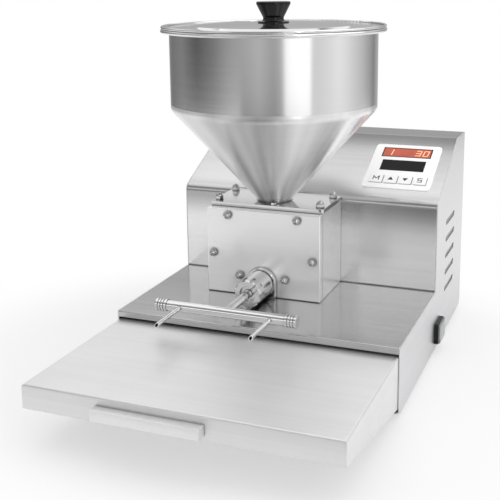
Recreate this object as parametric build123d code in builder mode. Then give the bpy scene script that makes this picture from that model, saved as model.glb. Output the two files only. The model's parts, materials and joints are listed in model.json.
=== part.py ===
from build123d import *

import os
from math import acos, atan2, cos, pi, radians, sin, tan

# Pastry filling machine. X runs to the operator's right, the operator stands at -Y, Z is up.
# The origin lies on the floor under the middle of the casing. All sizes are millimetres.

# Casing
casing_width = 380.0
casing_depth = 420.0
foot_height = 6.0
base_height = 85.0
upright_depth = 206.0
upright_front_height = 124.5
upright_height = 192.5
flat_top_depth = 61.0
sheet = 1.5
deck_lip = 8.0
lip_bend = 2.0
shoulder_bend = 12.0
crown_bend = 6.0
corner_round = 8.0
flange_width = 14.0
flange_gap = 1.0
vent_count = 5
vent_pitch = 25.0
vent_length = 70.0
vent_height = 8.0
vent_top_drop = 110.5
vent_from_rear = 104.5

# Feet and casing fasteners
foot_radius = 12.0
foot_taper = 1.5
foot_inset_x = 40.0
foot_inset_y = 35.0
foot_screw_radius = 2.0
foot_recess_radius = 5.0
foot_recess_depth = 3.0
foot_screw_head = 2.0
foot_screw_stand = 4.0
case_screw_radius = 1.5
case_screw_head_radius = 3.2
case_screw_head = 2.0
case_screw_taper = 15.0
case_screw_length = 8.0
case_screw_margin = 60.0
screw_gap = 0.1

# Tray
tray_reach = 217.0
tray_overlap = 70.0
tray_travel = 130.0
tray_drop = 11.0
tray_sheet = 1.2
tray_side_gap = 0.3
tray_bend = 2.5
apron_height = 28.4
skirt_height = 66.0
handle_width = 129.0
handle_depth = 14.0
handle_height = 12.0
handle_drop = 9.0
handle_sheet = 1.5
handle_round = 1.0
runner_width = 8.0
runner_height = 10.0
runner_drop = 25.0
runner_lead = 12.0
guide_sheet = 2.0
guide_gap = 0.3
guide_foot = 16.0
guide_spare = 5.0

# Pump block
pump_x = -29.0
block_width = 164.0
block_height = 120.0
body_depth = 85.0
plate_thickness = 12.0
plate_chamfer = 1.0
gasket_thickness = 1.0
top_plate_thickness = 6.0
top_plate_round = 6.0
gear_axis_height = 62.0
cavity_depth = 63.0
inlet_radius = 18.0
outlet_radius = 8.0
outlet_height = 21.5

# Pump gears and shafts
gear_module = 4.0
gear_teeth = 12
pressure_angle = 20.0
addendum = 3.5
dedendum = 4.6
backlash = 0.4
tip_gap = 0.3
face_gap = 0.3
shaft_radius = 7.0
shaft_end_gap = 0.5
shaft_chamfer = 0.7
running_gap = 0.05
press_gap = 0.02
bush_wall = 4.0
front_bush_length = 9.0
rear_bush_length = 12.0
seal_wall = 6.0
seal_length = 7.0

# Pump fasteners
stud_radius = 3.0
stud_gap = 0.2
stud_depth = 8.0
stud_reach = 6.0
upper_stud = (50.0, 112.0)
middle_stud = (72.0, 57.0)
lower_stud = (33.0, 28.0)
nut_across = 10.0
hex_sides = 6
nut_height = 5.0
nut_dome = 4.6
tie_side = 8.0
tie_edge = 13.0
bolt_head_height = 4.0
support_width = 190.0
support_thickness = 4.0
bleed_radius = 2.0
bleed_across = 7.0
bleed_head = 3.0
bleed_side = 9.0
bleed_front = 29.5
bleed_end_gap = 0.5

# Hopper and lid
hopper_back = 49.0
hopper_radius = 140.5
hopper_sheet = 1.5
hopper_height = 238.4
hopper_cone_height = 130.0
hopper_foot_radius = 21.0
hopper_bend = 11.0
hopper_seam = 8.0
rim_radius = 149.2
bead_radius = 2.75
lid_sheet = 1.2
lid_seat_gap = 0.15
lid_overhang = 0.4
lid_edge_radius = 1.8
lid_skirt_gap = 2.0
lid_skirt_height = 8.0
lid_dome_radius = 111.0
lid_step_width = 3.0
lid_step = 2.0
lid_rise = 4.8
lid_flat = 24.0
knob_height = 28.0
knob_top_radius = 23.0
knob_waist_radius = 14.5
knob_base_radius = 21.0
knob_edge = 3.5
knob_crown = 1.5
knob_foot = 1.5
knob_waist_height = 8.0
knob_screw_radius = 2.5
knob_screw_head_radius = 5.0
knob_screw_head = 2.5
knob_screw_length = 16.0

# Outlet, pipe and needles
ring_radius = 20.5
ring_thickness = 8.0
spigot_radius = 15.0
spigot_length = 24.0
seal_ring_thickness = 2.0
pipe_radius = 5.5
pipe_bore = 4.0
collar_radius = 14.5
collar_thickness = 10.0
nut_radius = 18.7
nut_stand_off = 2.0
nut_front_wall = 12.0
nut_recess_radius = 11.0
nut_recess_depth = 4.0
nut_slots = 10
nut_slot_width = 4.0
nut_slot_depth = 1.6
nut_slot_length = 15.0
nut_gap = 0.3
bar_ahead = 12.0
bar_length = 190.0
bar_radius = 6.75
bar_bore = 5.0
cap_radius = 7.75
cap_length = 15.0
cap_wall = 3.0
cap_groove_depth = 0.8
cap_groove_width = 1.6
cap_grooves = 3
needle_spacing = 122.0
needle_length = 70.0
needle_radius = 2.6
needle_bore = 1.8
needle_bevel = 5.0

# Drive
bracket_sheet = 3.0
bracket_size = 80.0
bracket_length = 58.0
bracket_bolt_offset = 30.0
bracket_bolt_depth = 10.0
pilot_radius = 16.0
gearbox_size = 76.0
gearbox_length = 48.0
gearbox_round = 5.0
gearbox_screw_offset = 28.0
gearbox_screw_radius = 2.5
gearbox_screw_depth = 9.0
motor_radius = 34.0
motor_length = 84.0
motor_end_length = 14.0
motor_end_step = 2.0
coupling_radius = 16.0
coupling_length = 40.0
coupling_start = 8.0
coupling_slit = 2.0
coupling_groove = 2.0
shaft_butt_gap = 2.0
wall_hole_gap = 2.0

# Power
supply_width = 115.0
supply_depth = 80.0
supply_height = 38.0
supply_from_side = 93.5
supply_from_rear = 90.0
supply_round = 2.0
terminal_depth = 14.0
terminal_height = 20.0
terminal_pitch = 9.0
terminal_count = 8
barrier_thickness = 1.5
barrier_height = 8.0
inlet_from_side = 68.5
inlet_height = 54.0
socket_width = 24.6
socket_height = 17.0
socket_depth = 16.0
socket_wall = 1.5
socket_flange = 4.0
socket_flange_thickness = 3.0
socket_round = 3.0
pin_width = 4.0
pin_thickness = 2.0
pin_length = 10.0
pin_pitch = 7.0
pin_rise = 4.0

# Control panel, measured on the slope
panel_from_side = 66.4
panel_width = 98.0
panel_height = 106.0
panel_thickness = 1.2
panel_round = 6.0
panel_seat = 4.0
window_width = 71.5
window_height = 22.7
window_up = 33.6
window_thickness = 1.0
window_gap = 0.05
key_count = 4
key_size = 19.4
key_pitch = 21.0
key_down = 32.0
key_gap = 0.2
key_proud = 1.0
key_round = 1.2
key_lip = 0.6
key_lip_thickness = 1.2
key_seat_gap = 0.2
key_stem_radius = 2.0
key_stem_length = 2.5
key_travel = 0.8
key_switch_gap = 0.2
key_switch_size = 6.0
key_switch_height = 3.0
board_thickness = 1.6
board_margin = 2.0
post_radius = 3.0
post_inset = 4.0
post_gap = 1.0

# Mains switch on the right side
switch_from_front = 231.0
switch_height = 23.5
switch_width = 41.0
switch_tall = 29.0
switch_proud = 6.0
switch_wall = 3.0
switch_inside = 22.0
switch_housing_wall = 1.0
switch_well = 16.0
switch_round = 3.0
rocker_gap = 1.5
rocker_side_gap = 0.6
rocker_tilt = 8.0
rocker_sink = 10.0
rocker_thickness = 7.5
rocker_keel = 3.0
rocker_dip = 1.0
rocker_pin_radius = 1.5
boot_margin = 1.0
boot_wall = 1.0
boot_height = 2.5
boot_round = 1.5

# Places that follow from the sizes
inner_x = casing_width / 2 - sheet
y_front = -casing_depth / 2
y_rear = casing_depth / 2
y_upright = y_rear - upright_depth
y_slope_top = y_rear - flat_top_depth
z_panel = foot_height
z_floor_plate = z_panel + sheet
z_floor_top = z_floor_plate + sheet
z_deck = z_panel + base_height
z_bend = z_deck + upright_front_height
z_top = z_deck + upright_height

tray_half = inner_x - tray_side_gap
z_tray = z_deck - tray_drop
y_tray_front = y_front - tray_reach
y_tray_rear = y_front + tray_overlap
z_skirt = z_tray - skirt_height

y_body_front = y_upright - body_depth
y_plate_back = y_body_front - gasket_thickness
y_plate_front = y_plate_back - plate_thickness
y_hopper = y_upright - hopper_back
z_block_top = z_deck + block_height
z_plate_top = z_block_top + top_plate_thickness
z_outlet = z_deck + outlet_height
z_gears = z_deck + gear_axis_height

pitch_radius = gear_module * gear_teeth / 2
tip_radius = pitch_radius + addendum
root_radius = pitch_radius - dedendum
cavity_radius = tip_radius + tip_gap
drive_x = pump_x + pitch_radius
idler_x = pump_x - pitch_radius
y_cavity_floor = y_body_front + cavity_depth
y_rear_bush_end = y_cavity_floor + rear_bush_length
bush_radius = shaft_radius + bush_wall
bush_bore = shaft_radius + running_gap
seal_radius = shaft_radius + seal_wall
stud_hole = stud_radius + stud_gap
stud_places = [
    (pump_x + side * across, z_deck + up)
    for across, up in (upper_stud, middle_stud, lower_stud)
    for side in (-1, 1)
]
tie_places = [
    (pump_x + side * (block_width / 2 - tie_side), y)
    for y in (y_body_front + tie_edge, y_upright - tie_edge)
    for side in (-1, 1)
]

slope_angle = atan2(z_top - z_bend, y_slope_top - y_upright)
slope_plane = Plane(
    origin=(casing_width / 2 - panel_from_side, (y_upright + y_slope_top) / 2, (z_bend + z_top) / 2),
    x_dir=(1, 0, 0),
    z_dir=(0, -sin(slope_angle), cos(slope_angle)),
)
key_places = [
    ((index - (key_count - 1) / 2) * key_pitch, -key_down) for index in range(key_count)
]
key_foot = key_seat_gap + key_lip_thickness + key_stem_length
board_top = -(key_foot + key_travel + key_switch_gap + key_switch_height)
board_width = panel_width - 2 * (panel_seat + board_margin)
board_height = panel_height - 2 * (panel_seat + board_margin)


# Origin on the table, under the middle of the part's footprint
middle_x = (switch_proud + boot_height) / 2
middle_y = (y_tray_front - handle_depth + y_rear + socket_flange_thickness) / 2
to_origin = Location((-middle_x, -middle_y, 0))


def keep(builder, node):
    """Names a finished piece, moves it to the part's origin and writes it as its own file."""
    builder.part = builder.part.moved(to_origin)
    builder.part.label = node
    export_step(builder.part, f"parts/{node}.step")


def plane_along_y(x, z):
    """A plane whose first axis is Y and whose second is Z, through a line along Y."""
    return Plane(origin=(x, 0, z), x_dir=(0, 1, 0), z_dir=(1, 0, 0))


def turned_along_y(outline, x, z):
    """A solid turned about a line along Y from an outline of (y, radius) points."""
    with BuildPart() as turned:
        with BuildSketch(plane_along_y(x, z)):
            with BuildLine():
                Polyline(*outline, close=True)
            make_face()
        revolve(axis=Axis((x, 0, z), (0, 1, 0)))
    return turned.part


def turned_upright(outline, x, y):
    """A solid turned about a line along Z from an outline of (radius, z) points."""
    with BuildPart() as turned:
        with BuildSketch(Plane(origin=(x, y, 0), x_dir=(1, 0, 0), z_dir=(0, -1, 0))):
            with BuildLine():
                Polyline(*outline, close=True)
            make_face()
        revolve(axis=Axis((x, y, 0), (0, 0, 1)))
    return turned.part


def acorn_nut():
    """A dome nut that stands on the origin and points up."""
    bore = stud_radius + press_gap
    with BuildPart() as nut:
        with BuildSketch():
            RegularPolygon(nut_across / 2, hex_sides, major_radius=False)
        extrude(amount=nut_height)
        with BuildSketch(Plane.XZ):
            with BuildLine():
                Line((0, nut_height), (nut_dome, nut_height))
                RadiusArc((nut_dome, nut_height), (0, nut_height + nut_dome), -nut_dome)
                Line((0, nut_height + nut_dome), (0, nut_height))
            make_face()
        revolve(axis=Axis.Z)
        with BuildSketch():
            Circle(bore)
        extrude(amount=stud_reach + press_gap, mode=Mode.SUBTRACT)
    return nut.part


def pump_gear(x, start_angle):
    """A spur gear with involute teeth, its axis along Y, one tooth at start_angle."""
    angle = radians(pressure_angle)
    base_radius = pitch_radius * cos(angle)
    half_tooth = (pi * gear_module / 2 - backlash / 2) / (2 * pitch_radius)
    flank_shares = (0, 0.25, 0.5, 0.75, 1)

    def flank_angle(radius):
        turn = acos(min(base_radius / radius, 1.0))
        return half_tooth + tan(angle) - angle - (tan(turn) - turn)

    def flank(side):
        points = []
        for share in flank_shares:
            radius = base_radius + (tip_radius - base_radius) * share
            points.append((radius * cos(flank_angle(radius)), side * radius * sin(flank_angle(radius))))
        return points

    low, high = flank(-1), flank(1)
    foot_x = (root_radius - dedendum) * cos(flank_angle(base_radius))
    foot_y = (root_radius - dedendum) * sin(flank_angle(base_radius))
    with BuildSketch() as tooth:
        with BuildLine():
            Line((foot_x, -foot_y), low[0])
            Spline(*low)
            ThreePointArc(low[-1], (tip_radius, 0), high[-1])
            Spline(*high)
            Line(high[0], (foot_x, foot_y))
            Line((foot_x, foot_y), (foot_x, -foot_y))
        make_face()
    gear_plane = Plane(
        origin=(x, y_plate_back + face_gap, z_gears), x_dir=(1, 0, 0), z_dir=(0, 1, 0)
    )
    with BuildPart() as gear:
        with BuildSketch(gear_plane):
            Circle(root_radius)
            with PolarLocations(0, gear_teeth, start_angle):
                add(tooth.sketch)
            Circle(shaft_radius + press_gap, mode=Mode.SUBTRACT)
        extrude(amount=cavity_depth + gasket_thickness - 2 * face_gap)
    return gear


os.makedirs("parts", exist_ok=True)

# Side panels: the whole side outline in one sheet, with folded edges at the foot and the back
for side_name, side in (("left", -1), ("right", 1)):
    outer_face = Plane.YZ.offset(side * casing_width / 2)
    with BuildPart() as side_panel:
        with BuildSketch(outer_face) as outline:
            with BuildLine():
                Polyline(
                    (y_front, z_panel),
                    (y_rear, z_panel),
                    (y_rear, z_top),
                    (y_slope_top, z_top),
                    (y_upright, z_bend),
                    (y_upright, z_deck),
                    (y_front, z_deck),
                    close=True,
                )
            make_face()
            by_height = outline.vertices().group_by(Axis.Y)
            fillet(by_height[0], corner_round)
            deck_corner = outline.vertices().group_by(Axis.X)[0].sort_by(Axis.Y)[-1]
            fillet(deck_corner, lip_bend)
            shoulder = outline.vertices().sort_by_distance((y_upright, z_bend))[0]
            fillet(shoulder, shoulder_bend)
            crown = outline.vertices().sort_by_distance((y_slope_top, z_top))[0]
            fillet(crown, crown_bend)
        extrude(amount=-side * sheet)
        # Folded foot that carries the base plate
        with BuildSketch(Plane.XY.offset(z_panel)):
            with Locations((side * (inner_x - flange_width / 2), 0)):
                Rectangle(flange_width, casing_depth - 2 * corner_round - 2 * sheet)
        extrude(amount=sheet)
        # Folded back edge that takes the rear panel's screws
        fold_low = z_panel + corner_round
        fold_high = z_top - flange_width - flange_gap
        with BuildSketch(Plane.XZ.offset(-(y_rear - sheet))):
            with Locations((side * (inner_x - flange_width / 2), (fold_low + fold_high) / 2)):
                Rectangle(flange_width, fold_high - fold_low)
        extrude(amount=sheet)
        with BuildSketch(Plane.XZ.offset(-y_rear)):
            for height in (z_panel + case_screw_margin, (z_panel + z_top) / 2, z_top - case_screw_margin):
                with Locations((side * (inner_x - flange_width / 2), height)):
                    Circle(case_screw_radius + screw_gap)
        extrude(amount=2 * sheet, mode=Mode.SUBTRACT)
        # Ventilation slots
        with BuildSketch(outer_face):
            for index in range(vent_count):
                with Locations((y_rear - vent_from_rear, z_top - vent_top_drop - index * vent_pitch)):
                    SlotOverall(vent_length, vent_height)
        extrude(amount=-side * sheet, mode=Mode.SUBTRACT)
        if side > 0:
            # Cut-out for the mains switch
            with BuildSketch(outer_face):
                with Locations((y_front + switch_from_front, z_panel + switch_height)):
                    Rectangle(switch_width - 2 * switch_wall + 2 * switch_housing_wall + 2 * screw_gap,
                              switch_tall - 2 * switch_wall + 2 * switch_housing_wall + 2 * screw_gap)
            extrude(amount=-side * sheet, mode=Mode.SUBTRACT)
    keep(side_panel, f"side_panel_{side_name}")

# Deck plate: lip, top and a tail under the upright
with BuildPart() as deck_plate:
    with BuildSketch(Plane.YZ.offset(-inner_x)):
        with BuildLine():
            FilletPolyline(
                (y_front, z_deck - deck_lip),
                (y_front, z_deck),
                (y_upright + flange_width, z_deck),
                radius=lip_bend,
            )
            offset(amount=sheet, side=Side.RIGHT)
        make_face()
    extrude(amount=2 * inner_x)
    with BuildSketch(Plane.XY.offset(z_deck)):
        with Locations(*tie_places):
            Circle(stud_hole)
    extrude(amount=-sheet, mode=Mode.SUBTRACT)
keep(deck_plate, "deck_plate")

# Upright cover: foot fold, front, slope, flat top and rear fold in one bent sheet
with BuildPart() as upright_cover:
    with BuildSketch(Plane.YZ.offset(-inner_x)):
        with BuildLine():
            FilletPolyline(
                (y_upright + flange_width, z_deck),
                (y_upright, z_deck),
                (y_upright, z_bend),
                (y_slope_top, z_top),
                (y_rear - sheet, z_top),
                (y_rear - sheet, z_top - flange_width),
                radius=(lip_bend, shoulder_bend, crown_bend, lip_bend),
            )
            offset(amount=sheet, side=Side.RIGHT)
        make_face()
    extrude(amount=2 * inner_x)
    with BuildSketch(slope_plane):
        Rectangle(panel_width - 2 * panel_seat, panel_height - 2 * panel_seat)
    extrude(amount=-2 * sheet, mode=Mode.SUBTRACT)
    # Holes for the pump shaft and the pump's bolts
    with BuildSketch(Plane.XZ.offset(-y_upright)):
        with Locations((drive_x, z_gears)):
            Circle(shaft_radius + wall_hole_gap)
            with GridLocations(2 * bracket_bolt_offset, 2 * bracket_bolt_offset, 2, 2):
                Circle(stud_hole)
    extrude(amount=-sheet, mode=Mode.SUBTRACT)
    with BuildSketch(Plane.XZ.offset(-y_rear)):
        for across in (-1, 0, 1):
            with Locations((across * (inner_x - case_screw_margin), z_top - flange_width / 2)):
                Circle(case_screw_radius + screw_gap)
    extrude(amount=2 * sheet, mode=Mode.SUBTRACT)
keep(upright_cover, "upright_cover")

# Rear panel
rear_screws = [
    (side * (inner_x - flange_width / 2), height)
    for side in (-1, 1)
    for height in (z_panel + case_screw_margin, (z_panel + z_top) / 2, z_top - case_screw_margin)
]
rear_screws += [
    (across * (inner_x - case_screw_margin), z_top - flange_width / 2) for across in (-1, 0, 1)
]
socket_outer_width = socket_width + 2 * socket_wall
socket_outer_height = socket_height + 2 * socket_wall
inlet_x = -inner_x + inlet_from_side
z_inlet = z_panel + inlet_height
with BuildPart() as rear_panel:
    with BuildSketch(Plane.XZ.offset(-y_rear)):
        with Locations((0, (z_panel + z_top) / 2)):
            Rectangle(2 * inner_x, z_top - z_panel)
        with Locations(*rear_screws):
            Circle(case_screw_radius + screw_gap, mode=Mode.SUBTRACT)
        with Locations((inlet_x, z_inlet)):
            RectangleRounded(socket_outer_width + 2 * screw_gap, socket_outer_height + 2 * screw_gap,
                             socket_round, mode=Mode.SUBTRACT)
    extrude(amount=sheet)
keep(rear_panel, "rear_panel")

# Case screws: pan heads on the rear panel
with BuildPart() as case_screws:
    for x, z in rear_screws:
        with BuildSketch(Plane.XZ.offset(-y_rear)):
            with Locations((x, z)):
                Circle(case_screw_head_radius)
        extrude(amount=-case_screw_head, taper=case_screw_taper)
        with BuildSketch(Plane.XZ.offset(-y_rear)):
            with Locations((x, z)):
                Circle(case_screw_radius)
        extrude(amount=case_screw_length)
keep(case_screws, "case_screws")

# Base plate on the side panels' folded feet
foot_x = casing_width / 2 - foot_inset_x
foot_y = casing_depth / 2 - foot_inset_y
with BuildPart() as base_plate:
    with BuildSketch(Plane.XY.offset(z_floor_plate)):
        with Locations((0, -sheet / 2)):
            Rectangle(2 * inner_x, casing_depth - sheet)
        with GridLocations(2 * foot_x, 2 * foot_y, 2, 2):
            Circle(foot_screw_radius + screw_gap, mode=Mode.SUBTRACT)
    extrude(amount=sheet)
    front_corners = base_plate.edges().filter_by(Axis.Z).group_by(Axis.Y)[0]
    chamfer(front_corners, sheet)
keep(base_plate, "base_plate")

# Rubber feet, recessed for their screws
with BuildPart() as foot:
    with BuildSketch():
        Circle(foot_radius - foot_taper)
    with BuildSketch(Plane.XY.offset(z_floor_plate)):
        Circle(foot_radius)
    loft()
    with BuildSketch():
        Circle(foot_recess_radius)
    extrude(amount=foot_recess_depth, mode=Mode.SUBTRACT)
    with BuildSketch():
        Circle(foot_screw_radius + screw_gap)
    extrude(amount=z_floor_plate, mode=Mode.SUBTRACT)
with BuildPart() as feet:
    with GridLocations(2 * foot_x, 2 * foot_y, 2, 2):
        add(foot.part)
keep(feet, "feet")

# Tray: one folded sheet with apron and skirts, open below and behind
with BuildPart() as tray:
    with BuildSketch(Plane.YZ.offset(-tray_half)):
        with BuildLine():
            Polyline(
                (y_tray_front, z_tray),
                (y_tray_front, z_tray - apron_height),
                (y_front, z_skirt),
                (y_tray_rear, z_skirt),
                (y_tray_rear, z_tray),
                close=True,
            )
        make_face()
    extrude(amount=2 * tray_half)
    top_face = tray.faces().sort_by(Axis.Z)[-1]
    rear_top = top_face.edges().sort_by(Axis.Y)[-1]
    fillet(top_face.edges() - [rear_top], tray_bend)
    rear_face = tray.faces().sort_by(Axis.Y)[-1]
    under_faces = [face for face in tray.faces() if face.normal_at().Z < -0.5]
    offset(amount=-tray_sheet, openings=[rear_face, *under_faces])
keep(tray, "tray")

# Handle: a channel pull, open below for the fingers, flat against the apron
z_handle = z_tray - handle_drop - handle_height / 2
with BuildPart() as tray_handle:
    with BuildSketch(Plane.XZ.offset(-y_tray_front)):
        with Locations((pump_x, z_handle)):
            Rectangle(handle_width, handle_height)
    extrude(amount=handle_depth)
    front_face = tray_handle.faces().sort_by(Axis.Y)[0]
    fillet(front_face.edges().filter_by(Axis.Z), handle_round)
    front_top = tray_handle.edges().filter_by(Axis.X).group_by(Axis.Y)[0].sort_by(Axis.Z)[-1]
    fillet(front_top, handle_round / 2)
    handle_under = tray_handle.faces().sort_by(Axis.Z)[0]
    offset(amount=-handle_sheet, openings=handle_under)
keep(tray_handle, "tray_handle")

# Tray runners inside the skirts, and the guides on the base plate that hold them
runner_x = tray_half - tray_sheet - runner_width / 2
z_runner = z_tray - runner_drop - runner_height / 2
with BuildPart() as tray_runners:
    with BuildSketch(Plane.XZ.offset(-(y_front - runner_lead))):
        with Locations((-runner_x, z_runner), (runner_x, z_runner)):
            Rectangle(runner_width, runner_height)
    extrude(amount=-(tray_overlap + runner_lead))
keep(tray_runners, "tray_runners")

guide_low = z_runner - runner_height / 2 - guide_gap
guide_high = z_runner + runner_height / 2 + guide_gap
guide_web = tray_half - tray_sheet - runner_width - guide_gap
guide_lip = tray_half - tray_sheet - guide_gap
with BuildPart() as tray_guides:
    for side in (-1, 1):
        with BuildSketch(Plane.XZ.offset(-y_front)):
            with BuildLine():
                Polyline(
                    (side * guide_lip, guide_high),
                    (side * guide_web, guide_high),
                    (side * guide_web, guide_low),
                    (side * guide_lip, guide_low),
                    (side * guide_lip, guide_low - guide_sheet),
                    (side * guide_web, guide_low - guide_sheet),
                    (side * guide_web, z_floor_top),
                    (side * (guide_web - guide_foot), z_floor_top),
                    (side * (guide_web - guide_foot), z_floor_top + guide_sheet),
                    (side * (guide_web - guide_sheet), z_floor_top + guide_sheet),
                    (side * (guide_web - guide_sheet), guide_high + guide_sheet),
                    (side * guide_lip, guide_high + guide_sheet),
                    close=True,
                )
            make_face()
        extrude(amount=-(tray_overlap + tray_travel + guide_spare))
keep(tray_guides, "tray_guides")

# Pump body: twin-gear cavity, inlet from above, outlet low in front, shaft bores behind
with BuildPart() as pump_body:
    with BuildSketch(Plane.XZ.offset(-y_body_front)):
        with Locations((pump_x, z_deck + block_height / 2)):
            Rectangle(block_width, block_height)
    extrude(amount=-body_depth)
    with BuildSketch(Plane.XZ.offset(-y_body_front)):
        with Locations((drive_x, z_gears), (idler_x, z_gears)):
            Circle(cavity_radius)
    extrude(amount=-cavity_depth, mode=Mode.SUBTRACT)
    with BuildSketch(Plane.XY.offset(z_block_top)):
        with Locations((pump_x, y_hopper)):
            Circle(inlet_radius)
    extrude(amount=-(z_block_top - z_gears - pitch_radius / 2), mode=Mode.SUBTRACT)
    with BuildSketch(Plane.XZ.offset(-y_body_front)):
        with Locations((pump_x, z_outlet)):
            Circle(outlet_radius)
    extrude(amount=-(y_hopper - y_body_front + outlet_radius), mode=Mode.SUBTRACT)
    with BuildSketch(Plane.XY.offset(z_outlet)):
        with Locations((pump_x, y_hopper)):
            Circle(outlet_radius)
    extrude(amount=gear_axis_height - outlet_height - pitch_radius / 2, mode=Mode.SUBTRACT)
    # Seats of the rear bushes, the shaft bore and the seal's seat
    with BuildSketch(Plane.XZ.offset(-y_cavity_floor)):
        with Locations((drive_x, z_gears), (idler_x, z_gears)):
            Circle(bush_radius + press_gap)
    extrude(amount=-rear_bush_length, mode=Mode.SUBTRACT)
    with BuildSketch(Plane.XZ.offset(-y_upright)):
        with Locations((drive_x, z_gears)):
            Circle(shaft_radius + wall_hole_gap / 2)
    extrude(amount=body_depth - cavity_depth, mode=Mode.SUBTRACT)
    with BuildSketch(Plane.XZ.offset(-y_upright)):
        with Locations((drive_x, z_gears)):
            Circle(seal_radius + press_gap)
    extrude(amount=seal_length, mode=Mode.SUBTRACT)
    # Holes for studs, tie bolts and the bolts from behind
    with BuildSketch(Plane.XZ.offset(-y_body_front)):
        with Locations(*stud_places):
            Circle(stud_radius + press_gap)
    extrude(amount=-stud_depth, mode=Mode.SUBTRACT)
    with BuildSketch(Plane.XY.offset(z_deck)):
        with Locations(*tie_places):
            Circle(stud_hole)
    extrude(amount=block_height, mode=Mode.SUBTRACT)
    with BuildSketch(Plane.XZ.offset(-y_upright)):
        with Locations((drive_x, z_gears)):
            with GridLocations(2 * bracket_bolt_offset, 2 * bracket_bolt_offset, 2, 2):
                Circle(stud_radius + press_gap)
    extrude(amount=bracket_bolt_depth, mode=Mode.SUBTRACT)
keep(pump_body, "pump_body")

# Front plate with the front bush seats and the outlet
with BuildPart() as front_plate:
    with BuildSketch(Plane.XZ.offset(-y_plate_back)):
        with Locations((pump_x, z_deck + block_height / 2)):
            Rectangle(block_width, block_height)
    extrude(amount=plate_thickness)
    chamfer(front_plate.faces().sort_by(Axis.Y)[0].edges(), plate_chamfer)
    with BuildSketch(Plane.XZ.offset(-y_plate_back)):
        with Locations(*stud_places):
            Circle(stud_hole)
        with Locations((pump_x, z_outlet)):
            Circle(outlet_radius)
    extrude(amount=plate_thickness, mode=Mode.SUBTRACT)
    with BuildSketch(Plane.XZ.offset(-y_plate_back)):
        with Locations((drive_x, z_gears), (idler_x, z_gears)):
            Circle(bush_radius + press_gap)
    extrude(amount=front_bush_length, mode=Mode.SUBTRACT)
keep(front_plate, "front_plate")

# Gasket between plate and body, cut out round the gears and the outlet
with BuildPart() as front_gasket:
    with BuildSketch(Plane.XZ.offset(-y_body_front)):
        with Locations((pump_x, z_deck + block_height / 2)):
            Rectangle(block_width, block_height)
        with Locations((drive_x, z_gears), (idler_x, z_gears)):
            Circle(cavity_radius, mode=Mode.SUBTRACT)
        with Locations((pump_x, z_outlet)):
            Circle(outlet_radius, mode=Mode.SUBTRACT)
        with Locations(*stud_places):
            Circle(stud_hole, mode=Mode.SUBTRACT)
    extrude(amount=gasket_thickness)
keep(front_gasket, "front_gasket")

# Pump gears in mesh, their shafts, bushes and the shaft seal
drive_gear = pump_gear(drive_x, 0)
keep(drive_gear, "drive_gear")
idler_gear = pump_gear(idler_x, 180 / gear_teeth)
keep(idler_gear, "idler_gear")

y_shaft_front = y_plate_back - front_bush_length + shaft_end_gap
y_coupling = y_upright + sheet + coupling_start
y_coupling_mid = y_coupling + coupling_length / 2
with BuildPart() as drive_shaft:
    with BuildSketch(Plane.XZ.offset(-y_shaft_front)):
        with Locations((drive_x, z_gears)):
            Circle(shaft_radius)
    extrude(amount=-(y_coupling_mid - shaft_butt_gap / 2 - y_shaft_front))
    chamfer(drive_shaft.edges().filter_by(GeomType.CIRCLE), shaft_chamfer)
keep(drive_shaft, "drive_shaft")

with BuildPart() as idler_shaft:
    with BuildSketch(Plane.XZ.offset(-y_shaft_front)):
        with Locations((idler_x, z_gears)):
            Circle(shaft_radius)
    extrude(amount=-(y_rear_bush_end - shaft_end_gap - y_shaft_front))
    chamfer(idler_shaft.edges().filter_by(GeomType.CIRCLE), shaft_chamfer)
keep(idler_shaft, "idler_shaft")

with BuildPart() as shaft_bushes:
    for start, length in ((y_plate_back, front_bush_length), (y_rear_bush_end, rear_bush_length)):
        with BuildSketch(Plane.XZ.offset(-start)):
            for x in (drive_x, idler_x):
                with Locations((x, z_gears)):
                    Circle(bush_radius)
                    Circle(bush_bore, mode=Mode.SUBTRACT)
        extrude(amount=length)
keep(shaft_bushes, "shaft_bushes")

with BuildPart() as shaft_seal:
    with BuildSketch(Plane.XZ.offset(-y_upright)):
        with Locations((drive_x, z_gears)):
            Circle(seal_radius)
            Circle(bush_bore, mode=Mode.SUBTRACT)
    extrude(amount=seal_length)
keep(shaft_seal, "shaft_seal")

# Acorn nuts
acorn = acorn_nut()
with BuildPart() as acorn_nuts:
    with Locations(*[Location((x, y_plate_front, z), (90, 0, 0)) for x, z in stud_places]):
        add(acorn)
    with Locations(*[Location((x, y, z_plate_top)) for x, y in tie_places]):
        add(acorn)
keep(acorn_nuts, "acorn_nuts")

# Support plate under the deck and the long tie bolts that hold the pump down
z_support = z_deck - sheet - support_thickness
with BuildPart() as pump_support:
    with BuildSketch(Plane.XY.offset(z_support)):
        with Locations((pump_x, y_upright - body_depth / 2)):
            Rectangle(support_width, body_depth + 2 * flange_width)
        with Locations(*tie_places):
            Circle(stud_hole, mode=Mode.SUBTRACT)
    extrude(amount=support_thickness)
keep(pump_support, "pump_support")

bleed_place = (pump_x + bleed_side, y_hopper - bleed_front)
with BuildPart() as tie_bolts:
    with BuildSketch(Plane.XY.offset(z_support)):
        with Locations(*tie_places):
            RegularPolygon(nut_across / 2, hex_sides, major_radius=False)
    extrude(amount=-bolt_head_height)
    with BuildSketch(Plane.XY.offset(z_support)):
        with Locations(*tie_places):
            Circle(stud_radius)
    extrude(amount=z_plate_top + stud_reach - z_support)
    # Bleed screw in the top plate
    with BuildSketch(Plane.XY.offset(z_plate_top)):
        with Locations(bleed_place):
            RegularPolygon(bleed_across / 2, hex_sides, major_radius=False)
    extrude(amount=bleed_head)
    with BuildSketch(Plane.XY.offset(z_plate_top)):
        with Locations(bleed_place):
            Circle(bleed_radius)
    extrude(amount=-(top_plate_thickness - bleed_end_gap))
keep(tie_bolts, "tie_bolts")

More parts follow.
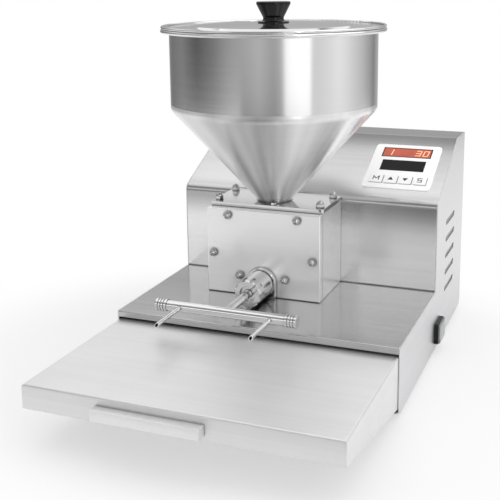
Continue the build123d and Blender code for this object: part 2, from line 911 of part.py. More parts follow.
# Top plate that the hopper is welded to
with BuildPart() as top_plate:
    with BuildSketch(Plane.XY.offset(z_block_top)) as plan:
        with Locations((pump_x, y_upright - body_depth / 2)):
            Rectangle(block_width, body_depth)
        fillet(plan.vertices().group_by(Axis.Y)[0], top_plate_round)
        with Locations((pump_x, y_hopper)):
            Circle(inlet_radius, mode=Mode.SUBTRACT)
        with Locations(*tie_places):
            Circle(stud_hole, mode=Mode.SUBTRACT)
        with Locations(bleed_place):
            Circle(bleed_radius + screw_gap, mode=Mode.SUBTRACT)
    extrude(amount=top_plate_thickness)
keep(top_plate, "top_plate")

# Hopper: a spun cone, a rolled barrel and a flat rim with a bead, welded edge to edge
z_bead = z_plate_top + hopper_height - bead_radius
z_flange = z_bead - hopper_sheet / 2
z_cone_top = z_plate_top + hopper_cone_height
z_seam = z_cone_top + hopper_seam
hopper_bore = hopper_radius - hopper_sheet
hopper_plane = Plane(origin=(pump_x, y_hopper, 0), x_dir=(1, 0, 0), z_dir=(0, -1, 0))
hopper_axis = Axis((pump_x, y_hopper, 0), (0, 0, 1))
with BuildPart() as hopper_cone:
    with BuildSketch(hopper_plane):
        with BuildLine():
            FilletPolyline(
                (hopper_foot_radius, z_plate_top - hopper_sheet),
                (hopper_radius, z_cone_top),
                (hopper_radius, z_seam),
                radius=hopper_bend,
            )
            offset(amount=hopper_sheet, side=Side.LEFT)
        make_face()
    revolve(axis=hopper_axis)
    split(bisect_by=Plane.XY.offset(z_plate_top), keep=Keep.TOP)
keep(hopper_cone, "hopper_cone")

with BuildPart() as hopper_barrel:
    with BuildSketch(Plane.XY.offset(z_seam)):
        with Locations((pump_x, y_hopper)):
            Circle(hopper_radius)
            Circle(hopper_bore, mode=Mode.SUBTRACT)
    extrude(amount=z_flange - z_seam)
keep(hopper_barrel, "hopper_barrel")

with BuildPart() as hopper_rim:
    with BuildSketch(hopper_plane):
        with Locations(((hopper_bore + rim_radius) / 2, z_bead)):
            Rectangle(rim_radius - hopper_bore, hopper_sheet)
        with Locations((rim_radius, z_bead)):
            Circle(bead_radius)
    revolve(axis=hopper_axis)
keep(hopper_rim, "hopper_rim")

# Lid: rolled edge and brim on the bead, a step up to a shallow dome, and a skirt ring that centres it
z_lid = z_plate_top + hopper_height + lid_seat_gap
lid_skirt_radius = hopper_bore - lid_skirt_gap
with BuildPart() as lid:
    with BuildSketch(hopper_plane):
        with BuildLine():
            hole_edge = knob_screw_radius + screw_gap
            dome_edge = lid_dome_radius - lid_step_width
            Line((hole_edge, z_lid + lid_rise), (lid_flat, z_lid + lid_rise))
            TangentArc((lid_flat, z_lid + lid_rise), (dome_edge, z_lid + lid_step), tangent=(1, 0))
            Polyline(
                (dome_edge, z_lid + lid_step),
                (lid_dome_radius, z_lid),
                (rim_radius + lid_overhang, z_lid),
            )
            offset(amount=lid_sheet, side=Side.LEFT)
        make_face()
        with Locations((rim_radius + lid_overhang, z_lid + lid_edge_radius)):
            Circle(lid_edge_radius)
    revolve(axis=hopper_axis)
keep(lid, "lid")

with BuildPart() as lid_skirt:
    with BuildSketch(Plane.XY.offset(z_lid)):
        with Locations((pump_x, y_hopper)):
            Circle(lid_skirt_radius)
            Circle(lid_skirt_radius - lid_sheet, mode=Mode.SUBTRACT)
    extrude(amount=-lid_skirt_height)
keep(lid_skirt, "lid_skirt")

# Knob: a spool with a low waist, and the screw that holds it from inside the lid
z_knob = z_lid + lid_rise + lid_sheet
knob_rim = (knob_top_radius, z_knob + knob_height - knob_edge)
knob_waist = (knob_waist_radius, z_knob + knob_waist_height)
with BuildPart() as lid_knob:
    with BuildSketch(hopper_plane):
        with BuildLine():
            Polyline(
                knob_waist,
                knob_rim,
                (knob_top_radius, z_knob + knob_height),
                (0, z_knob + knob_height),
                (0, z_knob),
                (knob_base_radius, z_knob),
                (knob_base_radius, z_knob + knob_foot),
            )
            TangentArc(
                knob_waist,
                (knob_base_radius, z_knob + knob_foot),
                tangent=(knob_waist[0] - knob_rim[0], knob_waist[1] - knob_rim[1]),
            )
        make_face()
    revolve(axis=hopper_axis)
    fillet(lid_knob.faces().sort_by(Axis.Z)[-1].edges(), knob_crown)
    with BuildSketch(Plane.XY.offset(z_knob)):
        with Locations((pump_x, y_hopper)):
            Circle(knob_screw_radius + press_gap)
    extrude(amount=knob_screw_length, mode=Mode.SUBTRACT)
keep(lid_knob, "lid_knob")

with BuildPart() as lid_screw:
    z_lid_under = z_lid + lid_rise
    add(turned_upright(
        [
            (0, z_lid_under - knob_screw_head),
            (knob_screw_head_radius, z_lid_under - knob_screw_head),
            (knob_screw_head_radius, z_lid_under),
            (knob_screw_radius, z_lid_under),
            (knob_screw_radius, z_knob + knob_screw_length - press_gap),
            (0, z_knob + knob_screw_length - press_gap),
        ],
        pump_x, y_hopper))
keep(lid_screw, "lid_screw")

# Outlet spigot: an arched flange on the front plate with a turned spout
y_ring = y_plate_front - ring_thickness
y_spigot = y_ring - spigot_length
with BuildPart() as outlet_spigot:
    with BuildSketch(Plane.XZ.offset(-y_plate_front)):
        with Locations((pump_x, z_outlet)):
            Circle(ring_radius)
        with Locations((pump_x, z_deck + outlet_height / 2)):
            Rectangle(2 * ring_radius, outlet_height)
    extrude(amount=ring_thickness)
    with BuildSketch(Plane.XZ.offset(-y_ring)):
        with Locations((pump_x, z_outlet)):
            Circle(spigot_radius)
    extrude(amount=spigot_length)
    with BuildSketch(Plane.XZ.offset(-y_plate_front)):
        with Locations((pump_x, z_outlet)):
            Circle(outlet_radius)
    extrude(amount=ring_thickness + spigot_length, mode=Mode.SUBTRACT)
keep(outlet_spigot, "outlet_spigot")

# Flat seal between spigot and pipe collar
y_seal = y_spigot - seal_ring_thickness
with BuildPart() as pipe_seal:
    add(turned_along_y(
        [
            (y_spigot, outlet_radius),
            (y_spigot, collar_radius),
            (y_seal, collar_radius),
            (y_seal, outlet_radius),
        ],
        pump_x, z_outlet))
keep(pipe_seal, "pipe_seal")

# Feed pipe with its collar, ending in the bar
y_bar = y_front - bar_ahead
y_collar = y_seal - collar_thickness
with BuildPart() as feed_pipe:
    add(turned_along_y(
        [
            (y_seal, pipe_bore),
            (y_seal, collar_radius),
            (y_collar, collar_radius),
            (y_collar, pipe_radius),
            (y_bar, pipe_radius),
            (y_bar, pipe_bore),
        ],
        pump_x, z_outlet))
    with BuildSketch(Plane.YZ.offset(pump_x - pipe_radius - bar_radius)):
        with Locations((y_bar, z_outlet)):
            Circle(bar_radius)
    extrude(amount=2 * (pipe_radius + bar_radius), mode=Mode.SUBTRACT)
keep(feed_pipe, "feed_pipe")

# Union nut: a round nut with spanner slots round its front end
y_nut_back = y_ring - nut_stand_off
y_nut_wall = y_collar - nut_gap
y_nut_front = y_nut_wall - nut_front_wall
with BuildPart() as union_nut:
    add(turned_along_y(
        [
            (y_nut_back, spigot_radius + nut_gap),
            (y_nut_back, nut_radius),
            (y_nut_front, nut_radius),
            (y_nut_front, nut_recess_radius),
            (y_nut_front + nut_recess_depth, nut_recess_radius),
            (y_nut_front + nut_recess_depth, pipe_radius + nut_gap),
            (y_nut_wall, pipe_radius + nut_gap),
            (y_nut_wall, spigot_radius + nut_gap),
        ],
        pump_x, z_outlet))
    outer_edges = union_nut.edges().filter_by(GeomType.CIRCLE).filter_by(
        lambda edge: abs(edge.radius - nut_radius) < press_gap)
    chamfer(outer_edges, nut_slot_depth)
    with BuildSketch(Plane.XZ.offset(-y_nut_front)):
        with Locations((pump_x, z_outlet)):
            with PolarLocations(nut_radius, nut_slots):
                Rectangle(2 * nut_slot_depth, nut_slot_width)
    extrude(amount=-nut_slot_length, mode=Mode.SUBTRACT)
keep(union_nut, "union_nut")

# Nozzle bar: a tube along X, drilled for the pipe and the needles
bar_half = bar_length / 2 - cap_wall
needle_places = [pump_x - needle_spacing / 2, pump_x + needle_spacing / 2]
with BuildPart() as nozzle_bar:
    with BuildSketch(Plane.YZ.offset(pump_x - bar_half)):
        with Locations((y_bar, z_outlet)):
            Circle(bar_radius)
            Circle(bar_bore, mode=Mode.SUBTRACT)
    extrude(amount=2 * bar_half)
    with BuildSketch(Plane.XZ.offset(-y_bar)):
        with Locations((pump_x, z_outlet)):
            Circle(pipe_bore)
    extrude(amount=-bar_radius, mode=Mode.SUBTRACT)
    with BuildSketch(Plane.XZ.offset(-y_bar)):
        with Locations(*[(x, z_outlet) for x in needle_places]):
            Circle(needle_radius + press_gap)
    extrude(amount=bar_radius, mode=Mode.SUBTRACT)
keep(nozzle_bar, "nozzle_bar")

# Screwed end caps with gripping grooves
with BuildPart() as bar_caps:
    for side in (-1, 1):
        cap_plane = Plane(
            origin=(pump_x + side * bar_length / 2, y_bar, z_outlet), x_dir=(-side, 0, 0), z_dir=(0, -1, 0)
        )
        with BuildSketch(cap_plane):
            with BuildLine():
                Polyline(
                    (0, 0),
                    (0, cap_radius),
                    (cap_length, cap_radius),
                    (cap_length, bar_radius + press_gap),
                    (cap_wall, bar_radius + press_gap),
                    (cap_wall, 0),
                    close=True,
                )
            make_face()
            groove_pitch = cap_length / (cap_grooves + 1)
            with Locations(*[(groove_pitch * (index + 1), cap_radius) for index in range(cap_grooves)]):
                Rectangle(cap_groove_width, 2 * cap_groove_depth, mode=Mode.SUBTRACT)
        revolve(axis=Axis((pump_x, y_bar, z_outlet), (1, 0, 0)))
keep(bar_caps, "bar_caps")

# Hollow needles with bevelled tips
y_needle_tip = y_bar - needle_length
with BuildPart() as needles:
    for x in needle_places:
        with BuildSketch(Plane.XZ.offset(-(y_bar - bar_bore))):
            with Locations((x, z_outlet)):
                Circle(needle_radius)
                Circle(needle_bore, mode=Mode.SUBTRACT)
        extrude(amount=needle_length - bar_bore)
    with BuildSketch(Plane.YZ.offset(pump_x - needle_spacing)):
        with BuildLine():
            Polyline(
                (y_needle_tip, z_outlet - needle_radius),
                (y_needle_tip, z_outlet + needle_radius),
                (y_needle_tip + needle_bevel, z_outlet + needle_radius),
                close=True,
            )
        make_face()
    extrude(amount=2 * needle_spacing, mode=Mode.SUBTRACT)
keep(needles, "needles")

# Motor bracket: a U of bent plate between the upright's front and the gearbox
y_wall = y_upright + sheet
y_bracket_end = y_wall + bracket_length
bracket_low = z_gears - bracket_size / 2
with BuildPart() as motor_bracket:
    with BuildSketch(Plane.YZ.offset(drive_x - bracket_size / 2)):
        with BuildLine():
            FilletPolyline(
                (y_wall, z_gears + bracket_size / 2),
                (y_wall, bracket_low),
                (y_bracket_end, bracket_low),
                (y_bracket_end, z_gears + bracket_size / 2),
                radius=bracket_sheet + lip_bend,
            )
            offset(amount=bracket_sheet, side=Side.LEFT)
        make_face()
    extrude(amount=bracket_size)
    with BuildSketch(Plane.XZ.offset(-y_wall)):
        with Locations((drive_x, z_gears)):
            Circle(shaft_radius + wall_hole_gap)
            with GridLocations(2 * bracket_bolt_offset, 2 * bracket_bolt_offset, 2, 2):
                Circle(stud_hole)
    extrude(amount=-bracket_sheet, mode=Mode.SUBTRACT)
    with BuildSketch(Plane.XZ.offset(-y_bracket_end)):
        with Locations((drive_x, z_gears)):
            Circle(pilot_radius + press_gap)
            with GridLocations(2 * gearbox_screw_offset, 2 * gearbox_screw_offset, 2, 2):
                Circle(gearbox_screw_radius + screw_gap)
    extrude(amount=bracket_sheet, mode=Mode.SUBTRACT)
keep(motor_bracket, "motor_bracket")

# Studs of the front plate, and bolts that clamp bracket, upright and pump body together
with BuildPart() as pump_studs:
    with BuildSketch(Plane.XZ.offset(-(y_body_front + stud_depth))):
        with Locations(*stud_places):
            Circle(stud_radius)
    extrude(amount=stud_depth + gasket_thickness + plate_thickness + stud_reach)
    with BuildSketch(Plane.XZ.offset(-(y_wall + bracket_sheet))):
        with Locations((drive_x, z_gears)):
            with GridLocations(2 * bracket_bolt_offset, 2 * bracket_bolt_offset, 2, 2):
                RegularPolygon(nut_across / 2, hex_sides, major_radius=False)
    extrude(amount=-bolt_head_height)
    with BuildSketch(Plane.XZ.offset(-(y_wall + bracket_sheet))):
        with Locations((drive_x, z_gears)):
            with GridLocations(2 * bracket_bolt_offset, 2 * bracket_bolt_offset, 2, 2):
                Circle(stud_radius)
    extrude(amount=bracket_sheet + sheet + bracket_bolt_depth - press_gap)
keep(pump_studs, "pump_studs")

# Gearbox with its pilot, then its screws and those of the feet
y_gearbox_end = y_bracket_end + gearbox_length
with BuildPart() as gearbox:
    with BuildSketch(Plane.XZ.offset(-y_bracket_end)):
        with Locations((drive_x, z_gears)):
            RectangleRounded(gearbox_size, gearbox_size, gearbox_round)
    extrude(amount=-gearbox_length)
    with BuildSketch(Plane.XZ.offset(-y_bracket_end)):
        with Locations((drive_x, z_gears)):
            Circle(pilot_radius)
    extrude(amount=bracket_sheet)
    with BuildSketch(Plane.XZ.offset(-(y_bracket_end - bracket_sheet))):
        with Locations((drive_x, z_gears)):
            Circle(bush_bore)
    extrude(amount=-(bracket_sheet + gearbox_length / 2), mode=Mode.SUBTRACT)
    with BuildSketch(Plane.XZ.offset(-y_bracket_end)):
        with Locations((drive_x, z_gears)):
            with GridLocations(2 * gearbox_screw_offset, 2 * gearbox_screw_offset, 2, 2):
                Circle(gearbox_screw_radius + press_gap)
    extrude(amount=-gearbox_screw_depth, mode=Mode.SUBTRACT)
keep(gearbox, "gearbox")

with BuildPart() as inner_screws:
    y_heads = y_bracket_end - bracket_sheet
    with BuildSketch(Plane.XZ.offset(-y_heads)):
        with Locations((drive_x, z_gears)):
            with GridLocations(2 * gearbox_screw_offset, 2 * gearbox_screw_offset, 2, 2):
                Circle(2 * gearbox_screw_radius)
    extrude(amount=gearbox_screw_radius)
    with BuildSketch(Plane.XZ.offset(-y_heads)):
        with Locations((drive_x, z_gears)):
            with GridLocations(2 * gearbox_screw_offset, 2 * gearbox_screw_offset, 2, 2):
                Circle(gearbox_screw_radius)
    extrude(amount=-(bracket_sheet + gearbox_screw_depth - press_gap))
    with BuildSketch(Plane.XY.offset(foot_recess_depth)):
        with GridLocations(2 * foot_x, 2 * foot_y, 2, 2):
            Circle(foot_recess_radius - 2 * screw_gap)
    extrude(amount=-foot_screw_head)
    with BuildSketch(Plane.XY.offset(foot_recess_depth)):
        with GridLocations(2 * foot_x, 2 * foot_y, 2, 2):
            Circle(foot_screw_radius)
    extrude(amount=z_floor_top + foot_screw_stand - foot_recess_depth)
keep(inner_screws, "inner_screws")

# Output shaft, coupling and motor
with BuildPart() as output_shaft:
    y_output = y_coupling_mid + shaft_butt_gap / 2
    with BuildSketch(Plane.XZ.offset(-y_output)):
        with Locations((drive_x, z_gears)):
            Circle(shaft_radius)
    extrude(amount=-(y_bracket_end + gearbox_length / 2 - shaft_end_gap - y_output))
keep(output_shaft, "output_shaft")

with BuildPart() as shaft_coupling:
    with BuildSketch(Plane.XZ.offset(-y_coupling)):
        with Locations((drive_x, z_gears)):
            Circle(coupling_radius)
            Circle(shaft_radius + press_gap, mode=Mode.SUBTRACT)
            with Locations((coupling_radius / 2, 0)):
                Rectangle(coupling_radius, coupling_slit, mode=Mode.SUBTRACT)
    extrude(amount=-coupling_length)
    with BuildSketch(Plane.XZ.offset(-(y_coupling_mid - coupling_groove / 2))):
        with Locations((drive_x, z_gears)):
            Circle(2 * coupling_radius)
            Circle(coupling_radius - coupling_groove, mode=Mode.SUBTRACT)
    extrude(amount=-coupling_groove, mode=Mode.SUBTRACT)
keep(shaft_coupling, "shaft_coupling")

with BuildPart() as motor:
    add(turned_along_y(
        [
            (y_gearbox_end, 0),
            (y_gearbox_end, motor_radius),
            (y_gearbox_end + motor_length - motor_end_length, motor_radius),
            (y_gearbox_end + motor_length - motor_end_length, motor_radius - motor_end_step),
            (y_gearbox_end + motor_length, motor_radius - motor_end_step),
            (y_gearbox_end + motor_length, 0),
        ],
        drive_x, z_gears))
keep(motor, "motor")

# Power supply on the base plate, with a row of terminals between barriers
supply_x = -inner_x + supply_from_side
y_supply = y_rear - supply_from_rear
with BuildPart() as power_supply:
    with BuildSketch(Plane.XY.offset(z_floor_top)):
        with Locations((supply_x, y_supply)):
            Rectangle(supply_width, supply_depth)
    extrude(amount=supply_height)
    fillet(power_supply.edges().filter_by(Axis.Z), supply_round)
    with BuildSketch(Plane.XY.offset(z_floor_top + terminal_height)):
        with Locations((supply_x, y_supply + (supply_depth - terminal_depth) / 2)):
            Rectangle(supply_width, terminal_depth)
    extrude(amount=supply_height - terminal_height, mode=Mode.SUBTRACT)
    with BuildSketch(Plane.XY.offset(z_floor_top + terminal_height)):
        with Locations((supply_x, y_supply + (supply_depth - terminal_depth) / 2)):
            with GridLocations(terminal_pitch, terminal_depth, terminal_count, 1):
                Rectangle(barrier_thickness, terminal_depth)
    extrude(amount=barrier_height)
keep(power_supply, "power_supply")

# Mains inlet: a flanged socket in the rear panel with its three pins
with BuildPart() as power_inlet:
    with BuildSketch(Plane.XZ.offset(-y_rear)):
        with Locations((inlet_x, z_inlet)):
            RectangleRounded(socket_outer_width + 2 * socket_flange,
                             socket_outer_height + 2 * socket_flange, socket_round)
    extrude(amount=-socket_flange_thickness)
    with BuildSketch(Plane.XZ.offset(-y_rear)):
        with Locations((inlet_x, z_inlet)):
            RectangleRounded(socket_outer_width, socket_outer_height, socket_round)
    extrude(amount=socket_depth + socket_wall)
    with BuildSketch(Plane.XZ.offset(-(y_rear + socket_flange_thickness))):
        with Locations((inlet_x, z_inlet)):
            RectangleRounded(socket_width, socket_height, socket_round)
    extrude(amount=socket_depth + socket_flange_thickness, mode=Mode.SUBTRACT)
    with BuildSketch(Plane.XZ.offset(-(y_rear - socket_depth))):
        with Locations((inlet_x, z_inlet)):
            with Locations((-pin_pitch, -pin_rise / 2), (0, pin_rise / 2), (pin_pitch, -pin_rise / 2)):
                Rectangle(pin_thickness, pin_width)
    extrude(amount=-pin_length)
keep(power_inlet, "power_inlet")

# Control overlay with openings for the display window and the keys
with BuildPart() as control_overlay:
    with BuildSketch(slope_plane):
        RectangleRounded(panel_width, panel_height, panel_round)
        with Locations((0, window_up)):
            Rectangle(window_width, window_height, mode=Mode.SUBTRACT)
        with Locations(*key_places):
            Rectangle(key_size, key_size, mode=Mode.SUBTRACT)
    extrude(amount=panel_thickness)
keep(control_overlay, "control_overlay")

with BuildPart() as display_window:
    with BuildSketch(slope_plane.offset(panel_thickness - window_thickness)):
        with Locations((0, window_up)):
            Rectangle(window_width - 2 * window_gap, window_height - 2 * window_gap)
    extrude(amount=window_thickness)
keep(display_window, "display_window")

# Keys: cap, retaining lip under the overlay and a stem to its switch
for key_name, place in zip(("key_menu", "key_up", "key_down", "key_start"), key_places):
    cap_size = key_size - 2 * key_gap
    with BuildPart() as key:
        with BuildSketch(slope_plane.offset(panel_thickness + key_proud)):
            with Locations(place):
                RectangleRounded(cap_size, cap_size, key_round)
        extrude(amount=-(panel_thickness + key_proud + key_seat_gap + key_lip_thickness))
        with BuildSketch(slope_plane.offset(-key_seat_gap)):
            with Locations(place):
                Rectangle(key_size + 2 * key_lip, key_size + 2 * key_lip)
        extrude(amount=-key_lip_thickness)
        with BuildSketch(slope_plane.offset(-key_seat_gap - key_lip_thickness)):
            with Locations(place):
                Circle(key_stem_radius)
        extrude(amount=-key_stem_length)
    keep(key, key_name)

# Circuit board on posts, with the key switches and the display module
with BuildPart() as control_board:
    with BuildSketch(slope_plane.offset(board_top)):
        Rectangle(board_width, board_height)
    extrude(amount=-board_thickness)
keep(control_board, "control_board")

post_low = key_size / 2 + key_lip + post_gap + post_radius - key_down
post_places = [
    (side * (board_width / 2 - post_inset), height)
    for side in (-1, 1)
    for height in (post_low, board_height / 2 - post_inset)
]
with BuildPart() as board_posts:
    with BuildSketch(slope_plane):
        with Locations(*post_places):
            Circle(post_radius)
    extrude(amount=board_top)
keep(board_posts, "board_posts")

with BuildPart() as board_parts:
    with BuildSketch(slope_plane.offset(board_top)):
        with Locations(*key_places):
            Rectangle(key_switch_size, key_switch_size)
    extrude(amount=key_switch_height)
    module_height = panel_thickness - window_thickness - board_top
    with BuildSketch(slope_plane.offset(board_top)):
        with Locations((0, window_up)):
            Rectangle(window_width - 2 * post_radius, window_height - 2 * window_gap)
    extrude(amount=module_height)
keep(board_parts, "board_parts")

# Mains switch: housing in the side panel, rocker on its pin, clear boot over it
switch_y = y_front + switch_from_front
switch_z = z_panel + switch_height
side_face = casing_width / 2
well_width = switch_width - 2 * switch_wall
well_tall = switch_tall - 2 * switch_wall
switch_plane = Plane.YZ.offset(side_face)
rocker_x = side_face + switch_proud - rocker_sink
with BuildPart() as switch_body:
    with BuildSketch(switch_plane):
        with Locations((switch_y, switch_z)):
            RectangleRounded(switch_width, switch_tall, switch_round)
    extrude(amount=switch_proud)
    with BuildSketch(switch_plane):
        with Locations((switch_y, switch_z)):
            Rectangle(well_width + 2 * switch_housing_wall, well_tall + 2 * switch_housing_wall)
    extrude(amount=-switch_inside)
    with BuildSketch(switch_plane.offset(switch_proud)):
        with Locations((switch_y, switch_z)):
            Rectangle(well_width, well_tall)
    extrude(amount=-switch_well, mode=Mode.SUBTRACT)
    with BuildSketch(Plane.XY.offset(switch_z - well_tall / 2 - switch_housing_wall)):
        with Locations((rocker_x, switch_y)):
            Circle(rocker_pin_radius + running_gap)
    extrude(amount=well_tall + 2 * switch_housing_wall, mode=Mode.SUBTRACT)
keep(switch_body, "switch_body")

rocker_half = well_width / 2 - rocker_gap
rocker_tall = well_tall - 2 * rocker_side_gap
with BuildPart() as switch_rocker:
    with BuildSketch(Plane.XY.offset(switch_z - rocker_tall / 2)):
        with Locations(Location((rocker_x, switch_y), rocker_tilt)):
            Polygon(
                (rocker_thickness, rocker_half),
                (rocker_thickness - rocker_dip, 0),
                (rocker_thickness, -rocker_half),
                (0, -rocker_half),
                (-rocker_keel, 0),
                (0, rocker_half),
                align=None,
            )
    extrude(amount=rocker_tall)
    pin_length_total = well_tall + 2 * switch_housing_wall
    with BuildSketch(Plane.XY.offset(switch_z - pin_length_total / 2)):
        with Locations((rocker_x, switch_y)):
            Circle(rocker_pin_radius)
    extrude(amount=pin_length_total)
keep(switch_rocker, "switch_rocker")

with BuildPart() as switch_boot:
    with BuildSketch(switch_plane.offset(switch_proud)):
        with Locations((switch_y, switch_z)):
            RectangleRounded(switch_width - 2 * boot_margin, switch_tall - 2 * boot_margin, switch_round)
    extrude(amount=boot_height)
    fillet(switch_boot.faces().sort_by(Axis.X)[-1].edges(), boot_round)
    with BuildSketch(switch_plane.offset(switch_proud)):
        with Locations((switch_y, switch_z)):
            Rectangle(well_width, well_tall)
    extrude(amount=boot_height - boot_wall, mode=Mode.SUBTRACT)
keep(switch_boot, "switch_boot")
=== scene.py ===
import json
from math import cos, pi, radians, sin

import bpy
from mathutils import Matrix, Vector

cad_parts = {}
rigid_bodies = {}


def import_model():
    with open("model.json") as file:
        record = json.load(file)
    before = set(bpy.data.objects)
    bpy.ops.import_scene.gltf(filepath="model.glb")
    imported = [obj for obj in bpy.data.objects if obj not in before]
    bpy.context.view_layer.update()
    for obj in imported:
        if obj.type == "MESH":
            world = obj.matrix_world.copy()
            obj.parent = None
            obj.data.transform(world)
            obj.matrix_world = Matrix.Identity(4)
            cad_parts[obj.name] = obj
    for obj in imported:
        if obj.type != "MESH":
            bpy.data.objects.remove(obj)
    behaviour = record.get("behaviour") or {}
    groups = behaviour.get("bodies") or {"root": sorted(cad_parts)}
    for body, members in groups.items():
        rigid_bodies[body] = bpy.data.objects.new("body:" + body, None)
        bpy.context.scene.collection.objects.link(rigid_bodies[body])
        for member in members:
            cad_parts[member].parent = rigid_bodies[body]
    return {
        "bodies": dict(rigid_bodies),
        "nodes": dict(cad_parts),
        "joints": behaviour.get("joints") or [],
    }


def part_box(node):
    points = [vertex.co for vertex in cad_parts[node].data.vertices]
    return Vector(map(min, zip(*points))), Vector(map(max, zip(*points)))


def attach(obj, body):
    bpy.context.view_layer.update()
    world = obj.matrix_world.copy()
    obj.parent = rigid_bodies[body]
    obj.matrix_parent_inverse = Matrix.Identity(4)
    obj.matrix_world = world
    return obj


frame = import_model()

MM = 0.001
WHITE = 1.0, 1.0, 1.0, 1.0

# The start scene's own objects go, so that only the part is left
own_objects = set(frame["nodes"].values()) | set(frame["bodies"].values())
for item in list(bpy.data.objects):
    if item not in own_objects:
        bpy.data.objects.remove(item)
bpy.context.view_layer.update()

# The hopper's upright axis
barrel_low, barrel_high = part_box("hopper_barrel")
axis_x, axis_y = ((barrel_low + barrel_high) / 2).xy

# Heights of the casing's two bends, from the cover's own outline
SAME_FACE = 0.1 * MM
cover_points = [vertex.co for vertex in frame["nodes"]["upright_cover"].data.vertices]
cover_front = min(point.y for point in cover_points)
shoulder_height = max(point.z for point in cover_points if point.y < cover_front + SAME_FACE)
crown_height = max(point.z for point in cover_points)

# Noise: the values that most of it lies between, and its detail
NOISE_RANGE = 0.3, 0.7
NOISE_DETAIL = 3.0
GRAIN_DETAIL = 2.0

# Metal: scales of fine lines and broad streaks, along and across the grain or round the hopper
GRAIN_ALONG, GRAIN_ACROSS = 4.0, 800.0
STREAK_ALONG, STREAK_ACROSS = 1.5, 120.0
LINES_ROUND, STREAKS_ROUND = 0.8, 3.0

# Metal: the share of streaks beside the fine lines, and the share of both beside large smudges
STREAK_SHARE = 0.5
LINE_SHARE = 0.55
SMUDGE_SCALE = 8.0

# Metal: height of the lines, the quarter turn from along to across them, and the relief of spun metal
LINE_HEIGHT = 0.2 * MM
QUARTER_TURN = 0.25
SPUN_SPREAD, SPUN_DEPTH = 0.03, 0.015

# Plastic: soft patches and a fine grain
PATCH_SCALE = 25.0
PLASTIC_SPREAD, PLASTIC_DEPTH, PLASTIC_HEIGHT = 0.05, 0.12, 0.1 * MM

# Edges that look softly rounded
SOFT_EDGE = 0.5 * MM
EDGE_SAMPLES = 6

# Painted shade in corners: how far it reaches, how open a corner is where it starts and ends, and its tone
CORNER_SHADE_REACH = 3.5 * MM
CORNER_SHADE_OPENNESS = 0.35, 0.95
CORNER_SHADE_TONE = 0.04
CORNER_SHADE_SAMPLES = 8

# Painted shade in bands at the casing's bends: how far it reaches below and above the bend
SHOULDER_SHADE_REACH = 45 * MM, 20 * MM
CROWN_SHADE_REACH = 22 * MM, 12 * MM
BEND_SHADE_STRENGTH = 0.50

# Woven wire
WIRE_PITCH = 1.2 * MM
WEAVE_RANGE = -0.6, 0.6


# Node helpers for the materials
def node(tree, kind, **settings):
    """A new node. Settings name its properties, or its inputs where they start with in_."""
    made = tree.nodes.new(kind)
    for key, value in settings.items():
        if key.startswith("in_"):
            made.inputs[key[3:].replace("_", " ")].default_value = value
        else:
            setattr(made, key, value)
    return made


def math_node(tree, operation, first, second=None):
    """The result of a math node on sockets or plain numbers."""
    made = node(tree, "ShaderNodeMath", operation=operation)
    for index, value in enumerate((first, second)):
        if value is None:
            continue
        if isinstance(value, bpy.types.NodeSocket):
            tree.links.new(value, made.inputs[index])
        else:
            made.inputs[index].default_value = value
    return made.outputs[0]


def span(tree, source, low, high, limits=NOISE_RANGE, curve="LINEAR"):
    """Low to high, while the source goes from the first to the second of its limits."""
    made = node(tree, "ShaderNodeMapRange", interpolation_type=curve)
    tree.links.new(source, made.inputs["Value"])
    made.inputs["From Min"].default_value, made.inputs["From Max"].default_value = limits
    made.inputs["To Min"].default_value = low
    made.inputs["To Max"].default_value = high
    return made.outputs["Result"]


def mix(tree, factor, first, second):
    """A mix of two colours, plain or from sockets, by a factor socket."""
    made = node(tree, "ShaderNodeMix", data_type="RGBA")
    tree.links.new(factor, made.inputs["Factor"])
    for name, value in (("A", first), ("B", second)):
        if isinstance(value, bpy.types.NodeSocket):
            tree.links.new(value, made.inputs[name])
        else:
            made.inputs[name].default_value = (*value, 1.0)
    return made.outputs["Result"]


def blend(tree, first, second, share):
    """Two values in one, the second with the given share."""
    return math_node(tree, "ADD", math_node(tree, "MULTIPLY", first, 1.0 - share),
                     math_node(tree, "MULTIPLY", second, share))


def mix_shaders(tree, factor, first, second):
    """A mix of two shaders by a factor socket."""
    made = node(tree, "ShaderNodeMixShader")
    for index, socket in enumerate((factor, first, second)):
        tree.links.new(socket, made.inputs[index])
    return made.outputs[0]


def ray_kinds(tree):
    """Factors that pick the rays of the camera and clear plastic, and the rays of gloss."""
    rays = node(tree, "ShaderNodeLightPath").outputs
    seen = math_node(tree, "MAXIMUM", rays["Is Camera Ray"], rays["Is Transmission Ray"])
    return seen, rays["Is Glossy Ray"]


def own_place(tree, kind="Object"):
    """The place of a point, in its object's coordinates unless told otherwise."""
    return node(tree, "ShaderNodeTexCoord").outputs[kind]


def apart(tree, vector):
    """The X, Y and Z of a vector socket, by name."""
    made = node(tree, "ShaderNodeSeparateXYZ")
    tree.links.new(vector, made.inputs["Vector"])
    return made.outputs


def stretched(tree, scale):
    """The place of a point with a scale of its own along each axis."""
    mapping = node(tree, "ShaderNodeMapping", in_Scale=scale)
    tree.links.new(own_place(tree), mapping.inputs["Vector"])
    return mapping.outputs["Vector"]


def noise(tree, vector, scale=1.0, detail=NOISE_DETAIL):
    """Soft noise about a middle of 0.5."""
    made = node(tree, "ShaderNodeTexNoise", in_Scale=scale, in_Detail=detail)
    tree.links.new(vector, made.inputs["Vector"])
    return made.outputs["Fac"]


def blank(name):
    """A new node material with its tree and shader."""
    made = bpy.data.materials.new(name)
    made.use_nodes = True
    tree = made.node_tree
    return made, tree, tree.nodes["Principled BSDF"]


def grey(level):
    """A neutral colour."""
    return level, level, level


